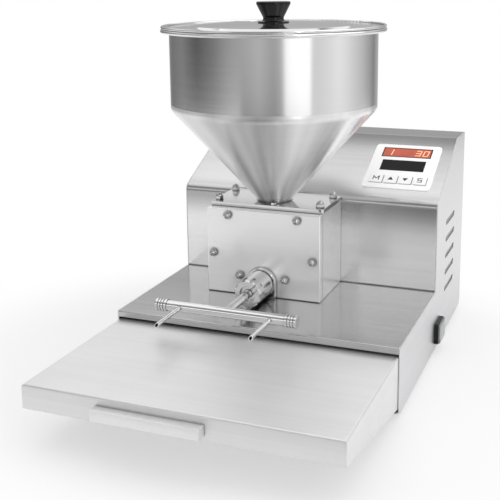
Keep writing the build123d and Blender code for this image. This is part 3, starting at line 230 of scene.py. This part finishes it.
# Parts of a finish that several materials share
def relief(tree, shader, source, strength, height, edge):
    """A fine bump over the whole surface, and edges that look softly rounded."""
    bump = node(tree, "ShaderNodeBump", in_Strength=strength, in_Distance=height)
    tree.links.new(source, bump.inputs["Height"])
    if edge:
        rounded = node(tree, "ShaderNodeBevel", samples=EDGE_SAMPLES, in_Radius=edge)
        tree.links.new(rounded.outputs["Normal"], bump.inputs["Normal"])
    tree.links.new(bump.outputs["Normal"], shader.inputs["Normal"])


def uneven(tree, shader, source, tint, contrast, roughness, spread, corner_shade=0.0):
    """Colour and roughness that vary a little with the source, and painted shade that darkens corners."""
    dark = [channel * (1.0 - contrast) for channel in tint]
    light = [min(channel * (1.0 + contrast), 1.0) for channel in tint]
    colour = mix(tree, span(tree, source, 0.0, 1.0), dark, light)
    if corner_shade:
        # Painted shade: the colour darkens towards a dark tone where corners close in round the surface
        corner = node(tree, "ShaderNodeAmbientOcclusion", samples=CORNER_SHADE_SAMPLES, in_Distance=CORNER_SHADE_REACH)
        unshaded = span(tree, corner.outputs["AO"], 1.0 - corner_shade, 1.0, CORNER_SHADE_OPENNESS)
        colour = mix(tree, unshaded, [channel * CORNER_SHADE_TONE for channel in tint], colour)
    tree.links.new(colour, shader.inputs["Base Color"])
    rough = span(tree, source, roughness - spread, roughness + spread)
    tree.links.new(rough, shader.inputs["Roughness"])


def with_smudge(tree, lines, place):
    """Fine lines together with large soft smudges."""
    return blend(tree, noise(tree, place, SMUDGE_SCALE), lines, LINE_SHARE)


def stretch_gloss(tree, shader, tangent, amount):
    """Gloss that is drawn out across the fine lines, whose direction is the tangent."""
    tree.links.new(tangent, shader.inputs["Tangent"])
    shader.inputs["Anisotropic"].default_value = amount
    shader.inputs["Anisotropic Rotation"].default_value = QUARTER_TURN


# Kinds of material
def brushed(name, tint, grain, roughness, spread=0.05, contrast=0.05, depth=0.05, edge=SOFT_EDGE,
            stretch=0.0, metallic=1.0, corner_shade=0.0):
    """Brushed, polished or satin metal with fine lines along the axis that grain names."""
    made, tree, shader = blank(name)
    fine = [GRAIN_ALONG if axis == grain else GRAIN_ACROSS for axis in "xyz"]
    broad = [STREAK_ALONG if axis == grain else STREAK_ACROSS for axis in "xyz"]
    lines = noise(tree, stretched(tree, fine))
    streaks = noise(tree, stretched(tree, broad))
    source = with_smudge(tree, blend(tree, lines, streaks, STREAK_SHARE), own_place(tree))
    uneven(tree, shader, source, tint, contrast, roughness, spread, corner_shade)
    relief(tree, shader, lines, depth, LINE_HEIGHT, edge)
    shader.inputs["Metallic"].default_value = metallic
    if stretch:
        along = node(tree, "ShaderNodeCombineXYZ", **{"in_" + grain.upper(): 1.0})
        stretch_gloss(tree, shader, along.outputs["Vector"], stretch)
    return made


def painted_bend_shade(material, line, reach):
    """A band of painted shade along a pressed bend at the height line, with its reach below and above it.
    """
    below, above = reach
    tree = material.node_tree
    base = tree.nodes["Principled BSDF"].inputs["Base Color"]
    colour = base.links[0].from_socket
    height = apart(tree, own_place(tree))["Z"]
    rising = span(tree, height, 0.0, BEND_SHADE_STRENGTH, (line - below, line), "SMOOTHSTEP")
    falling = span(tree, height, 1.0, 0.0, (line, line + above), "SMOOTHSTEP")
    shade_band = math_node(tree, "MULTIPLY", rising, falling)
    tree.links.new(mix(tree, shade_band, colour, grey(0.0)), base)


def spun(name, tint, roughness, contrast=0.03, stretch=0.3, streaks=0.0):
    """Metal turned or polished round the hopper's axis: fine lines round it, broad streaks along it."""
    made, tree, shader = blank(name)
    place = own_place(tree)
    parts = apart(tree, place)
    from_x = math_node(tree, "SUBTRACT", parts["X"], axis_x)
    from_y = math_node(tree, "SUBTRACT", parts["Y"], axis_y)
    squares = [math_node(tree, "MULTIPLY", offset, offset) for offset in (from_x, from_y)]
    reach = math_node(tree, "SQRT", math_node(tree, "ADD", *squares))
    along = math_node(tree, "ADD", reach, parts["Z"])

    def around(rounds, third=None):
        """Noise by the direction from the axis, and by a third value where it has one."""
        vector = node(tree, "ShaderNodeCombineXYZ")
        for axis, offset in (("X", from_x), ("Y", from_y)):
            direction = math_node(tree, "DIVIDE", offset, reach)
            tree.links.new(math_node(tree, "MULTIPLY", direction, rounds), vector.inputs[axis])
        if third:
            tree.links.new(third, vector.inputs["Z"])
        return noise(tree, vector.outputs["Vector"])

    lines = around(LINES_ROUND, math_node(tree, "MULTIPLY", along, GRAIN_ACROSS))
    source = with_smudge(tree, lines, place)
    if streaks:
        source = blend(tree, source, around(STREAKS_ROUND), streaks)
    uneven(tree, shader, source, tint, contrast, roughness, SPUN_SPREAD)
    relief(tree, shader, lines, SPUN_DEPTH, LINE_HEIGHT, edge=0.0)
    tangent = node(tree, "ShaderNodeTangent", direction_type="RADIAL", axis="Z")
    stretch_gloss(tree, shader, tangent.outputs["Tangent"], stretch)
    shader.inputs["Metallic"].default_value = 1.0
    return made


def moulded(name, colour, roughness, grain_scale=900.0, contrast=0.08, gloss=0.5, edge=SOFT_EDGE):
    """Plastic, rubber, paint or ink with a fine grain and a little unevenness."""
    made, tree, shader = blank(name)
    place = own_place(tree)
    uneven(tree, shader, noise(tree, place, PATCH_SCALE), colour, contrast, roughness, PLASTIC_SPREAD)
    grain = noise(tree, place, grain_scale, GRAIN_DETAIL)
    relief(tree, shader, grain, PLASTIC_DEPTH, PLASTIC_HEIGHT, edge)
    shader.inputs["Specular IOR Level"].default_value = gloss
    return made


def display_glass():
    """Red filter over a lit display."""
    made, tree, shader = blank("display_red")
    cloud = noise(tree, own_place(tree), scale=45.0)
    uneven(tree, shader, cloud, (0.58, 0.115, 0.065), contrast=0.12, roughness=0.22, spread=0.05)
    shader.inputs["Coat Weight"].default_value = 0.3
    return made


def display_light():
    """Lit segments."""
    made, tree, shader = blank("display_light")
    cloud = noise(tree, own_place(tree), scale=300.0, detail=GRAIN_DETAIL)
    colour = mix(tree, span(tree, cloud, 0.0, 1.0), (0.95, 0.42, 0.20), (1.0, 0.60, 0.36))
    tree.links.new(colour, shader.inputs["Base Color"])
    tree.links.new(colour, shader.inputs["Emission Color"])
    shader.inputs["Emission Strength"].default_value = 0.35
    shader.inputs["Roughness"].default_value = 0.4
    return made


def clear_plastic():
    """The clear boot over the rocker."""
    made, tree, shader = blank("clear_boot")
    cloud = noise(tree, own_place(tree), scale=60.0)
    tree.links.new(span(tree, cloud, low=0.05, high=0.14), shader.inputs["Roughness"])
    shader.inputs["Base Color"].default_value = (0.90, 0.91, 0.92, 1.0)
    shader.inputs["Transmission Weight"].default_value = 0.85
    shader.inputs["IOR"].default_value = 1.42
    return made


def wire_screen():
    """Fine woven wire behind the vents."""
    made, tree, shader = blank("wire_screen")
    parts = apart(tree, own_place(tree))
    turns = [math_node(tree, "MULTIPLY", parts[axis], 2 * pi / WIRE_PITCH) for axis in "YZ"]
    weave = math_node(tree, "MULTIPLY", *[math_node(tree, "SINE", turn) for turn in turns])
    share = span(tree, weave, 0.0, 1.0, WEAVE_RANGE)
    colour = mix(tree, share, (0.32, 0.32, 0.33), (0.50, 0.50, 0.51))
    tree.links.new(colour, shader.inputs["Base Color"])
    relief(tree, shader, weave, strength=0.3, height=LINE_HEIGHT, edge=0.0)
    shader.inputs["Metallic"].default_value = 0.4
    shader.inputs["Roughness"].default_value = 0.5
    return made


# Metals of the casing and the tray
# Several of these metals get painted shade that darkens their corners
casing_steel = brushed("casing_steel", grey(0.90), "x", 0.22, spread=0.015, contrast=0.08, depth=0.02,
                       stretch=0.4)
# Painted shade: a darker band under the casing's shoulder bend and along its crown
painted_bend_shade(casing_steel, shoulder_height, SHOULDER_SHADE_REACH)
painted_bend_shade(casing_steel, crown_height, CROWN_SHADE_REACH)
rear_steel = brushed("rear_steel", grey(0.70), "x", 0.30, contrast=0.03, stretch=0.5)
side_steel = brushed("side_steel", (0.78, 0.78, 0.79), "y", 0.40, edge=1.4 * MM)
deck_steel = brushed("deck_steel", grey(0.56), "x", 0.16, spread=0.02, contrast=0.10, depth=0.015,
                     stretch=0.2)
tray_steel = brushed("tray_steel", grey(0.86), "x", 0.40, contrast=0.07, edge=0.8 * MM, metallic=0.9,
                     corner_shade=0.5)
handle_steel = brushed("handle_steel", grey(0.95), "x", 0.35, corner_shade=0.6)
inner_steel = brushed("inner_steel", grey(0.58), "x", 0.45)

# Metals of the pump, the hopper, the outlet and the drive
# Several of these metals get painted shade that darkens their corners
pump_steel = brushed("pump_steel", grey(0.94), "x", 0.24, contrast=0.06, edge=0.8 * MM, stretch=0.5,
                     metallic=0.7, corner_shade=0.7)
top_steel = brushed("top_steel", grey(0.64), "x", 0.16, contrast=0.03, depth=0.02, corner_shade=0.7)
hopper_steel = spun("hopper_steel", grey(0.80), 0.16, contrast=0.05, stretch=0.05, streaks=0.5)
cone_steel = spun("cone_steel", grey(0.82), 0.32, contrast=0.25, stretch=0.85, streaks=0.8)
lid_steel = spun("lid_steel", grey(0.80), 0.10)
bright_steel = brushed("bright_steel", grey(0.86), "x", 0.12, spread=0.03, depth=0.02, corner_shade=0.8)
union_steel = brushed("union_steel", grey(0.78), "y", 0.13, spread=0.03, depth=0.02, corner_shade=0.45)
nut_steel = brushed("nut_steel", grey(0.54), "z", 0.09, spread=0.03, depth=0.02, edge=0.2 * MM, corner_shade=0.95)
bush_bronze = brushed("bush_bronze", (0.62, 0.42, 0.20), "y", 0.35)
drive_aluminium = brushed("drive_aluminium", (0.72, 0.73, 0.74), "y", 0.40)

# Plastics, rubber, paint and print
gear_polymer = moulded("gear_polymer", (0.80, 0.79, 0.74), 0.45)
black_rubber = moulded("black_rubber", grey(0.020), 0.70, grain_scale=1500.0)
black_plastic = moulded("black_plastic", (0.005, 0.005, 0.0055), 0.12, gloss=0.3)
overlay_white = moulded("overlay_white", grey(0.94), 0.40, contrast=0.01, edge=0.0)
key_white = moulded("key_white", grey(0.92), 0.40, contrast=0.02)
# Dark grey of the painted shadow beside each key
key_shade = moulded("key_shade", (0.20, 0.20, 0.205), 0.55)
board_green = moulded("board_green", (0.02, 0.16, 0.06), 0.40)
board_dark = moulded("board_parts", grey(0.03), 0.45)
motor_paint = moulded("motor_paint", (0.10, 0.11, 0.12), 0.45)
strip_black = moulded("strip_black", (0.010, 0.010, 0.011), 0.32, gloss=0.15)
mark_ink = moulded("mark_ink", (0.03, 0.03, 0.033), 0.50, gloss=0.2)
display_red = display_glass()
segment_light = display_light()
clear_boot = clear_plastic()
vent_wire = wire_screen()

# Finish of every node
finishes = {
    casing_steel: ("upright_cover",),
    rear_steel: ("rear_panel",),
    side_steel: ("side_panel_left", "side_panel_right"),
    deck_steel: ("deck_plate",),
    tray_steel: ("tray",),
    handle_steel: ("tray_handle",),
    inner_steel: (
        "base_plate", "tray_guides", "tray_runners", "motor_bracket", "pump_support", "power_supply",
    ),
    pump_steel: ("front_plate", "pump_body"),
    top_steel: ("top_plate",),
    hopper_steel: ("hopper_barrel", "hopper_rim"),
    cone_steel: ("hopper_cone",),
    lid_steel: ("lid", "lid_skirt"),
    bright_steel: (
        "bar_caps", "case_screws", "drive_shaft", "feed_pipe", "idler_shaft", "inner_screws",
        "lid_screw", "needles", "nozzle_bar", "outlet_spigot", "output_shaft", "pump_studs",
        "tie_bolts", "board_posts",
    ),
    union_steel: ("union_nut",),
    nut_steel: ("acorn_nuts",),
    gear_polymer: ("drive_gear", "idler_gear"),
    bush_bronze: ("shaft_bushes",),
    black_rubber: ("feet", "shaft_seal", "front_gasket", "pipe_seal"),
    black_plastic: ("lid_knob", "switch_body", "switch_rocker", "power_inlet"),
    clear_boot: ("switch_boot",),
    overlay_white: ("control_overlay",),
    key_white: ("key_menu", "key_up", "key_down", "key_start"),
    display_red: ("display_window",),
    board_green: ("control_board",),
    board_dark: ("board_parts",),
    drive_aluminium: ("gearbox", "shaft_coupling"),
    motor_paint: ("motor",),
}
for finish, node_names in finishes.items():
    for node_name in node_names:
        node_mesh = frame["nodes"][node_name].data
        node_mesh.materials.clear()
        node_mesh.materials.append(finish)


# Mesh helpers for the added pieces
def piece(name, shape, finish, body, smooth=False):
    """A new piece from its points and faces, which rides on a body."""
    points, faces = shape
    mesh = bpy.data.meshes.new(name)
    mesh.from_pydata(points, [], faces)
    mesh.validate()
    mesh.update()
    made = bpy.data.objects.new(name, mesh)
    bpy.context.scene.collection.objects.link(made)
    mesh.materials.append(finish)
    if smooth:
        mesh.shade_smooth()
    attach(made, body)


def prisms(outlines, plane, depth):
    """Points and faces of flat prisms: outlines in a plane's own two directions, raised by depth."""
    points, faces = [], []
    for outline in outlines:
        start, count = len(points), len(outline)
        for height in (0.0, depth):
            points += [plane @ Vector((x, y, height)) for x, y in outline]
        faces.append([start + index for index in reversed(range(count))])
        faces.append([start + count + index for index in range(count)])
        for index in range(count):
            after = (index + 1) % count
            faces.append([start + index, start + after, start + count + after, start + count + index])
    return points, faces


def bar(start, end, width):
    """A straight stroke with square ends, as an outline."""
    along = Vector((end[0] - start[0], end[1] - start[1])).normalized() * width / 2
    side = Vector((-along.y, along.x))
    first, last = Vector(start) - along, Vector(end) + along
    return [tuple(first - side), tuple(last - side), tuple(last + side), tuple(first + side)]


def strokes(points, width):
    """Bars along a line of points."""
    return [bar(start, end, width) for start, end in zip(points, points[1:])]


def rounded_box(width, height, radius, centre=(0.0, 0.0), steps=6):
    """A rectangle with round corners, as an outline."""
    outline = []
    for turn, side_x, side_y in ((0, 1, 1), (90, -1, 1), (180, -1, -1), (270, 1, -1)):
        corner_x = centre[0] + side_x * (width / 2 - radius)
        corner_y = centre[1] + side_y * (height / 2 - radius)
        for step in range(steps + 1):
            angle = radians(turn + 90 * step / steps)
            outline.append((corner_x + radius * cos(angle), corner_y + radius * sin(angle)))
    return outline


def weld_bead(centre, radius, tube, ripple, waves, around=288, across=12):
    """Points and faces of a bead that runs round an upright axis, with small waves along it."""
    points, faces = [], []
    for index in range(around):
        turn = 2 * pi * index / around
        thick = tube * (1.0 + ripple * sin(waves * turn))
        for step in range(across):
            tilt = 2 * pi * step / across
            reach = radius + thick * cos(tilt)
            points.append(centre + Vector((reach * cos(turn), reach * sin(turn), thick * sin(tilt))))
    for index in range(around):
        after = (index + 1) % around
        for step in range(across):
            next_step = (step + 1) % across
            faces.append([index * across + step, after * across + step,
                          after * across + next_step, index * across + next_step])
    return points, faces


# The slope's own directions, from the press of a key
press = next(joint for joint in frame["joints"] if joint["name"] == "up_press")
slope_out = -Vector(press["axis"])
slope_across = Vector((1.0, 0.0, 0.0))
slope_up = slope_out.cross(slope_across)
slope_turn = Matrix((slope_across, slope_up, slope_out)).transposed().to_4x4()


def slope_plane(name, rise=0.0):
    """A plane on top of a flat node that lies on the slope, at its middle or further up the slope."""
    low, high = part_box(name)
    top = max(vertex.co.dot(slope_out) for vertex in frame["nodes"][name].data.vertices)
    middle = (low + high) / 2
    middle += slope_out * (top - middle.dot(slope_out))
    return Matrix.Translation(middle + slope_up * rise) @ slope_turn


# Thickness of print, and of trim that stands a little higher
ink = 0.06 * MM
trim = 2 * ink
overlay_plane = slope_plane("control_overlay")
window_plane = slope_plane("display_window")

# Bare strip under the display
strip_width, strip_height, strip_corner = 64 * MM, 25.5 * MM, 0.8 * MM
strip_rise = 1.7 * MM
strip_shape = prisms([rounded_box(strip_width, strip_height, strip_corner)],
                     slope_plane("control_overlay", strip_rise), trim)
piece("panel_strip", strip_shape, strip_black, "machine")

# Lit figures of the display, a 1 and a 30: the segments of each, and its place along the window
figure_places = ("bc", -25 * MM), ("abgcd", 17 * MM), ("abcdef", 28 * MM)
figure_width, figure_height, figure_stroke = 6.5 * MM, 12.0 * MM, 1.5 * MM
figure_lean = 0.12


def figure(segments, place):
    """Outlines of the lit segments of one figure, leaning a little."""
    side, top = figure_width / 2, figure_height / 2
    ends = {
        "a": ((-side, top), (side, top)),
        "b": ((side, top), (side, 0)),
        "c": ((side, 0), (side, -top)),
        "d": ((-side, -top), (side, -top)),
        "e": ((-side, 0), (-side, -top)),
        "f": ((-side, top), (-side, 0)),
        "g": ((-side, 0), (side, 0)),
    }
    upright = [bar(*ends[segment], figure_stroke) for segment in segments]
    return [[(place + x + figure_lean * y, y) for x, y in outline] for outline in upright]


figure_outlines = []
for segments, place in figure_places:
    figure_outlines += figure(segments, place)
figure_shape = prisms(figure_outlines, window_plane, ink)
piece("display_figures", figure_shape, segment_light, "machine")

# Dark frame round the display
frame_stroke, frame_inset = 1.6 * MM, 1.0 * MM
window_low, window_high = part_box("display_window")
half_width = (window_high.x - window_low.x) / 2
half_height = (window_high - window_low).dot(slope_up) / 2 - frame_inset
frame_bars = [
    bar((-half_width, end * half_height), (half_width, end * half_height), frame_stroke) for end in (-1, 1)
]
frame_bars += [
    bar((end * half_width, -half_height), (end * half_width, half_height), frame_stroke) for end in (-1, 1)
]
piece("display_frame", prisms(frame_bars, window_plane, trim), strip_black, "machine")

# Marks on the keys, which are two letters and two arrows, and the painted shadow beside each key
half_mark = 4.0 * MM
narrow_mark = half_mark * 0.7
mark_notch = half_mark * 0.3
mark_stroke = 1.4 * MM
menu_line = [(-half_mark, -half_mark), (-half_mark, half_mark), (0, -mark_notch), (half_mark, half_mark),
             (half_mark, -half_mark)]
start_line = [(narrow_mark, half_mark), (-narrow_mark, half_mark), (-narrow_mark, 0), (narrow_mark, 0),
              (narrow_mark, -half_mark), (-narrow_mark, -half_mark)]
marks = {
    "menu": strokes(menu_line, mark_stroke),
    "up": [[(-half_mark, -narrow_mark), (half_mark, -narrow_mark), (0, half_mark)]],
    "down": [[(0, -half_mark), (half_mark, narrow_mark), (-half_mark, narrow_mark)]],
    "start": strokes(start_line, mark_stroke),
}
shade_size, shade_corner, shade_step = 18.6 * MM, 1.5 * MM, 1.3 * MM
shades = []
for key, outlines in marks.items():
    key_plane = slope_plane(f"key_{key}")
    piece(f"key_{key}_mark", prisms(outlines, key_plane, ink), mark_ink, f"{key}_key")
    key_x, key_y, _ = overlay_plane.inverted() @ key_plane.translation
    shade_middle = key_x + shade_step, key_y - shade_step
    shades.append(rounded_box(shade_size, shade_size, shade_corner, shade_middle))
# Painted shadow: a dark patch set down and to the right of each raised key
piece("key_shades", prisms(shades, overlay_plane, ink), key_shade, "machine")

# Wire screens behind the vents, upright and facing to the side
panel_sheet = 1.5 * MM
vent_length, vent_span = 70 * MM, 108 * MM
vent_y, vent_z = 219.5 * MM, 123 * MM
screen_depth, screen_gap, screen_margin, screen_corner = 0.6 * MM, 0.4 * MM, 6 * MM, 3 * MM
side_turn = Matrix(((0.0, 1.0, 0.0), (0.0, 0.0, 1.0), (1.0, 0.0, 0.0))).transposed().to_4x4()
screen = rounded_box(vent_length + 2 * screen_margin, vent_span + 2 * screen_margin, screen_corner)
for side in ("left", "right"):
    panel_low, panel_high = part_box(f"side_panel_{side}")
    if side == "left":
        screen_x = panel_low.x + panel_sheet + screen_gap
    else:
        screen_x = panel_high.x - panel_sheet - screen_gap - screen_depth
    screen_plane = Matrix.Translation((screen_x, vent_y, vent_z)) @ side_turn
    screen_shape = prisms([screen], screen_plane, screen_depth)
    piece(f"vent_screen_{side}", screen_shape, vent_wire, "machine")

# Weld bead where the hopper meets its plate
weld_radius, weld_tube, weld_rise = 21.6 * MM, 1.1 * MM, 0.3 * MM
weld_ripple, weld_waves = 0.16, 72
cone_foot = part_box("hopper_cone")[0].z
weld_shape = weld_bead(Vector((axis_x, axis_y, cone_foot + weld_rise)), weld_radius, weld_tube,
                       weld_ripple, weld_waves)
piece("hopper_weld", weld_shape, bright_steel, "machine", smooth=True)

# Floor: its size, and the share of white from near to far with the distances between which it grows
FLOOR_WIDTH, FLOOR_DEPTH, FLOOR_CORNER = 3.4, 2.4, 0.4
FLOOR_MIDDLE = 0.75
FLOOR_STEPS = 24
FADE_SCALE = 1.0, 1.25, 1.0
SEEN_WHITE, SEEN_FADE = (0.58, 1.0), (0.36, 0.60)
MIRRORED_WHITE, MIRRORED_FADE = (0.0, 1.0), (0.45, 1.0)


def floor_paper():
    """Pale paper that keeps the part's shadow and fades to white further out."""
    made, tree, shader = blank("floor_paper")
    shader.inputs["Base Color"].default_value = (*grey(0.78), 1.0)
    shader.inputs["Roughness"].default_value = 0.9
    shader.inputs["Specular IOR Level"].default_value = 0.1
    away = node(tree, "ShaderNodeVectorMath", operation="LENGTH")
    tree.links.new(stretched(tree, FADE_SCALE), away.inputs[0])
    distance = away.outputs["Value"]
    seen, mirrored = ray_kinds(tree)
    seen_share = span(tree, distance, *SEEN_WHITE, SEEN_FADE, "SMOOTHSTEP")
    mirrored_share = span(tree, distance, *MIRRORED_WHITE, MIRRORED_FADE, "SMOOTHSTEP")
    share = math_node(tree, "MAXIMUM", math_node(tree, "MULTIPLY", seen, seen_share),
                      math_node(tree, "MULTIPLY", mirrored, mirrored_share))
    glow = node(tree, "ShaderNodeEmission", in_Strength=1.0)
    paper = mix_shaders(tree, share, shader.outputs[0], glow.outputs[0])
    tree.links.new(paper, tree.nodes["Material Output"].inputs["Surface"])
    return made


floor_rim = rounded_box(FLOOR_WIDTH, FLOOR_DEPTH, FLOOR_CORNER, (0.0, FLOOR_MIDDLE), FLOOR_STEPS)
floor_mesh = bpy.data.meshes.new("floor")
floor_mesh.from_pydata([(x, y, 0.0) for x, y in floor_rim], [], [list(range(len(floor_rim)))])
floor_mesh.materials.append(floor_paper())
floor = bpy.data.objects.new("floor", floor_mesh)
bpy.context.scene.collection.objects.link(floor)

# Studio that metal sees: levels of light by degrees from the front towards the right, at four heights
ROUND_BELOW = (
    (-180, 0.50), (-60, 0.78), (-17, 0.80), (-14, 0.10), (-12, 0.03), (20, 0.05), (60, 0.50), (180, 0.50),
)
ROUND_LOW = (
    (-180, 0.35), (-150, 0.30), (-130, 0.13), (-97, 0.17), (-71, 0.06), (-40, 0.16), (-12, 0.31), (5, 0.40),
    (22, 0.28), (40, 0.47), (60, 0.50), (95, 0.69), (142, 0.32), (160, 0.18), (180, 0.35),
)
ROUND_HIGH = (
    (-180, 0.36), (-150, 0.36), (-110, 0.32), (-70, 0.55), (-45, 0.95), (-8, 0.95), (8, 0.78), (20, 0.66),
    (34, 0.36), (60, 0.30), (90, 0.50), (130, 0.50), (180, 0.36),
)
ROUND_UPPER = (
    (-180, 0.80), (-125, 0.75), (-90, 0.40), (-40, 0.22), (40, 0.22), (90, 0.40), (140, 0.45), (180, 0.80),
)
FLOOR_LEVEL, CEILING_LEVEL = 0.20, 0.15
STUDIO_STRENGTH = 1.4

# Heights between which one level passes into the next, as the Z of a direction
TO_FLOOR = -0.30, -0.40
TO_BELOW = -0.14, -0.20
TO_HIGH = 0.08, 0.24
TO_UPPER = 0.335, 0.40
TO_CEILING = 0.60, 0.80

# Plain light of the room on everything else, from its lowest to its highest
ROOM_LIGHT = 0.48, 0.78
ROOM_HEIGHTS = -0.2, 0.6


def studio_world():
    """White to the camera and clear plastic, the studio to metal, and plain light to the rest."""
    made = bpy.data.worlds.new("studio")
    made.use_nodes = True
    tree = made.node_tree
    tree.nodes.clear()
    parts = apart(tree, own_place(tree, "Generated"))
    front = math_node(tree, "MULTIPLY", parts["Y"], -1.0)
    turn = math_node(tree, "ARCTAN2", parts["X"], front)
    turn_share = math_node(tree, "ADD", math_node(tree, "DIVIDE", turn, 2 * pi), 0.5)

    def round_of(stops):
        """The level of light by the direction round the part."""
        ramp = node(tree, "ShaderNodeValToRGB")
        tree.links.new(turn_share, ramp.inputs["Fac"])
        elements = ramp.color_ramp.elements
        while len(elements) < len(stops):
            elements.new(0.5)
        for stop, (degrees, level) in zip(elements, stops):
            stop.position = degrees / 360 + 0.5
            stop.color = (*grey(level), 1.0)
        return ramp.outputs["Color"]

    def past(heights):
        """A factor that grows to 1 as a direction passes through the heights."""
        return span(tree, parts["Z"], 0.0, 1.0, heights, "SMOOTHSTEP")

    below = mix(tree, past(TO_FLOOR), round_of(ROUND_BELOW), grey(FLOOR_LEVEL))
    lower_half = mix(tree, past(TO_BELOW), round_of(ROUND_LOW), below)
    upper_half = mix(tree, past(TO_UPPER), round_of(ROUND_HIGH), round_of(ROUND_UPPER))
    sides = mix(tree, past(TO_HIGH), lower_half, upper_half)
    metal_view = node(tree, "ShaderNodeBackground", in_Strength=STUDIO_STRENGTH)
    tree.links.new(mix(tree, past(TO_CEILING), sides, grey(CEILING_LEVEL)), metal_view.inputs["Color"])
    room = node(tree, "ShaderNodeBackground", in_Color=WHITE)
    tree.links.new(span(tree, parts["Z"], *ROOM_LIGHT, ROOM_HEIGHTS, "SMOOTHSTEP"), room.inputs["Strength"])
    white = node(tree, "ShaderNodeBackground", in_Color=WHITE, in_Strength=1.0)
    seen, mirrored = ray_kinds(tree)
    light = mix_shaders(tree, mirrored, room.outputs[0], metal_view.outputs[0])
    surround = mix_shaders(tree, seen, light, white.outputs[0])
    tree.links.new(surround, node(tree, "ShaderNodeOutputWorld").inputs["Surface"])
    return made


bpy.context.scene.world = studio_world()


# Lamps
def softbox(name, place, aim, width, height, radiance):
    """A rectangular lamp whose face shows the given radiance."""
    lamp = bpy.data.lights.new(name, "AREA")
    lamp.shape = "RECTANGLE"
    lamp.size = width
    lamp.size_y = height
    lamp.energy = radiance * pi * width * height
    made = bpy.data.objects.new(name, lamp)
    made.location = place
    made.rotation_euler = (Vector(aim) - Vector(place)).to_track_quat("-Z", "Y").to_euler()
    bpy.context.scene.collection.objects.link(made)


softbox("lamp_top", (0.0, 0.0, 1.9), (0.0, 0.0, 0.0), width=2.4, height=2.2, radiance=0.85)
softbox("lamp_side", (0.95, 0.25, 1.35), (0.1, 0.2, 0.25), width=1.4, height=1.4, radiance=0.85)
softbox("lamp_right", (1.20, -1.16, 0.72), (0.0, 0.07, 0.4), width=0.92, height=1.4, radiance=0.65)
softbox("lamp_glint", (1.13, -1.10, 0.95), (0.0, 0.0, 0.3), width=0.12, height=0.5, radiance=9.0)

# Camera at the photo's viewing angle
CAMERA_PLACE = 0.41523, -1.11979, 0.52451
YAW, PITCH, ROLL = radians(21.388), radians(11.493), radians(-0.553)
LENS, SENSOR = 67.351, 36.0
SHIFT_X, SHIFT_Y = -0.026, -0.17
ahead = Vector((-sin(YAW) * cos(PITCH), cos(YAW) * cos(PITCH), -sin(PITCH)))
level_right = Vector((cos(YAW), sin(YAW), 0.0))
level_up = level_right.cross(ahead)
camera_right = level_right * cos(ROLL) + level_up * sin(ROLL)
camera_up = level_up * cos(ROLL) - level_right * sin(ROLL)
camera_turn = Matrix((camera_right, camera_up, -ahead)).transposed().to_4x4()
lens = bpy.data.cameras.new("camera")
lens.sensor_width = SENSOR
lens.lens = LENS
lens.shift_x = SHIFT_X
lens.shift_y = SHIFT_Y
camera = bpy.data.objects.new("camera", lens)
camera.matrix_world = Matrix.Translation(CAMERA_PLACE) @ camera_turn
bpy.context.scene.collection.objects.link(camera)
bpy.context.scene.camera = camera

bpy.context.scene.view_settings.view_transform = "Standard"

bpy.context.view_layer.update()
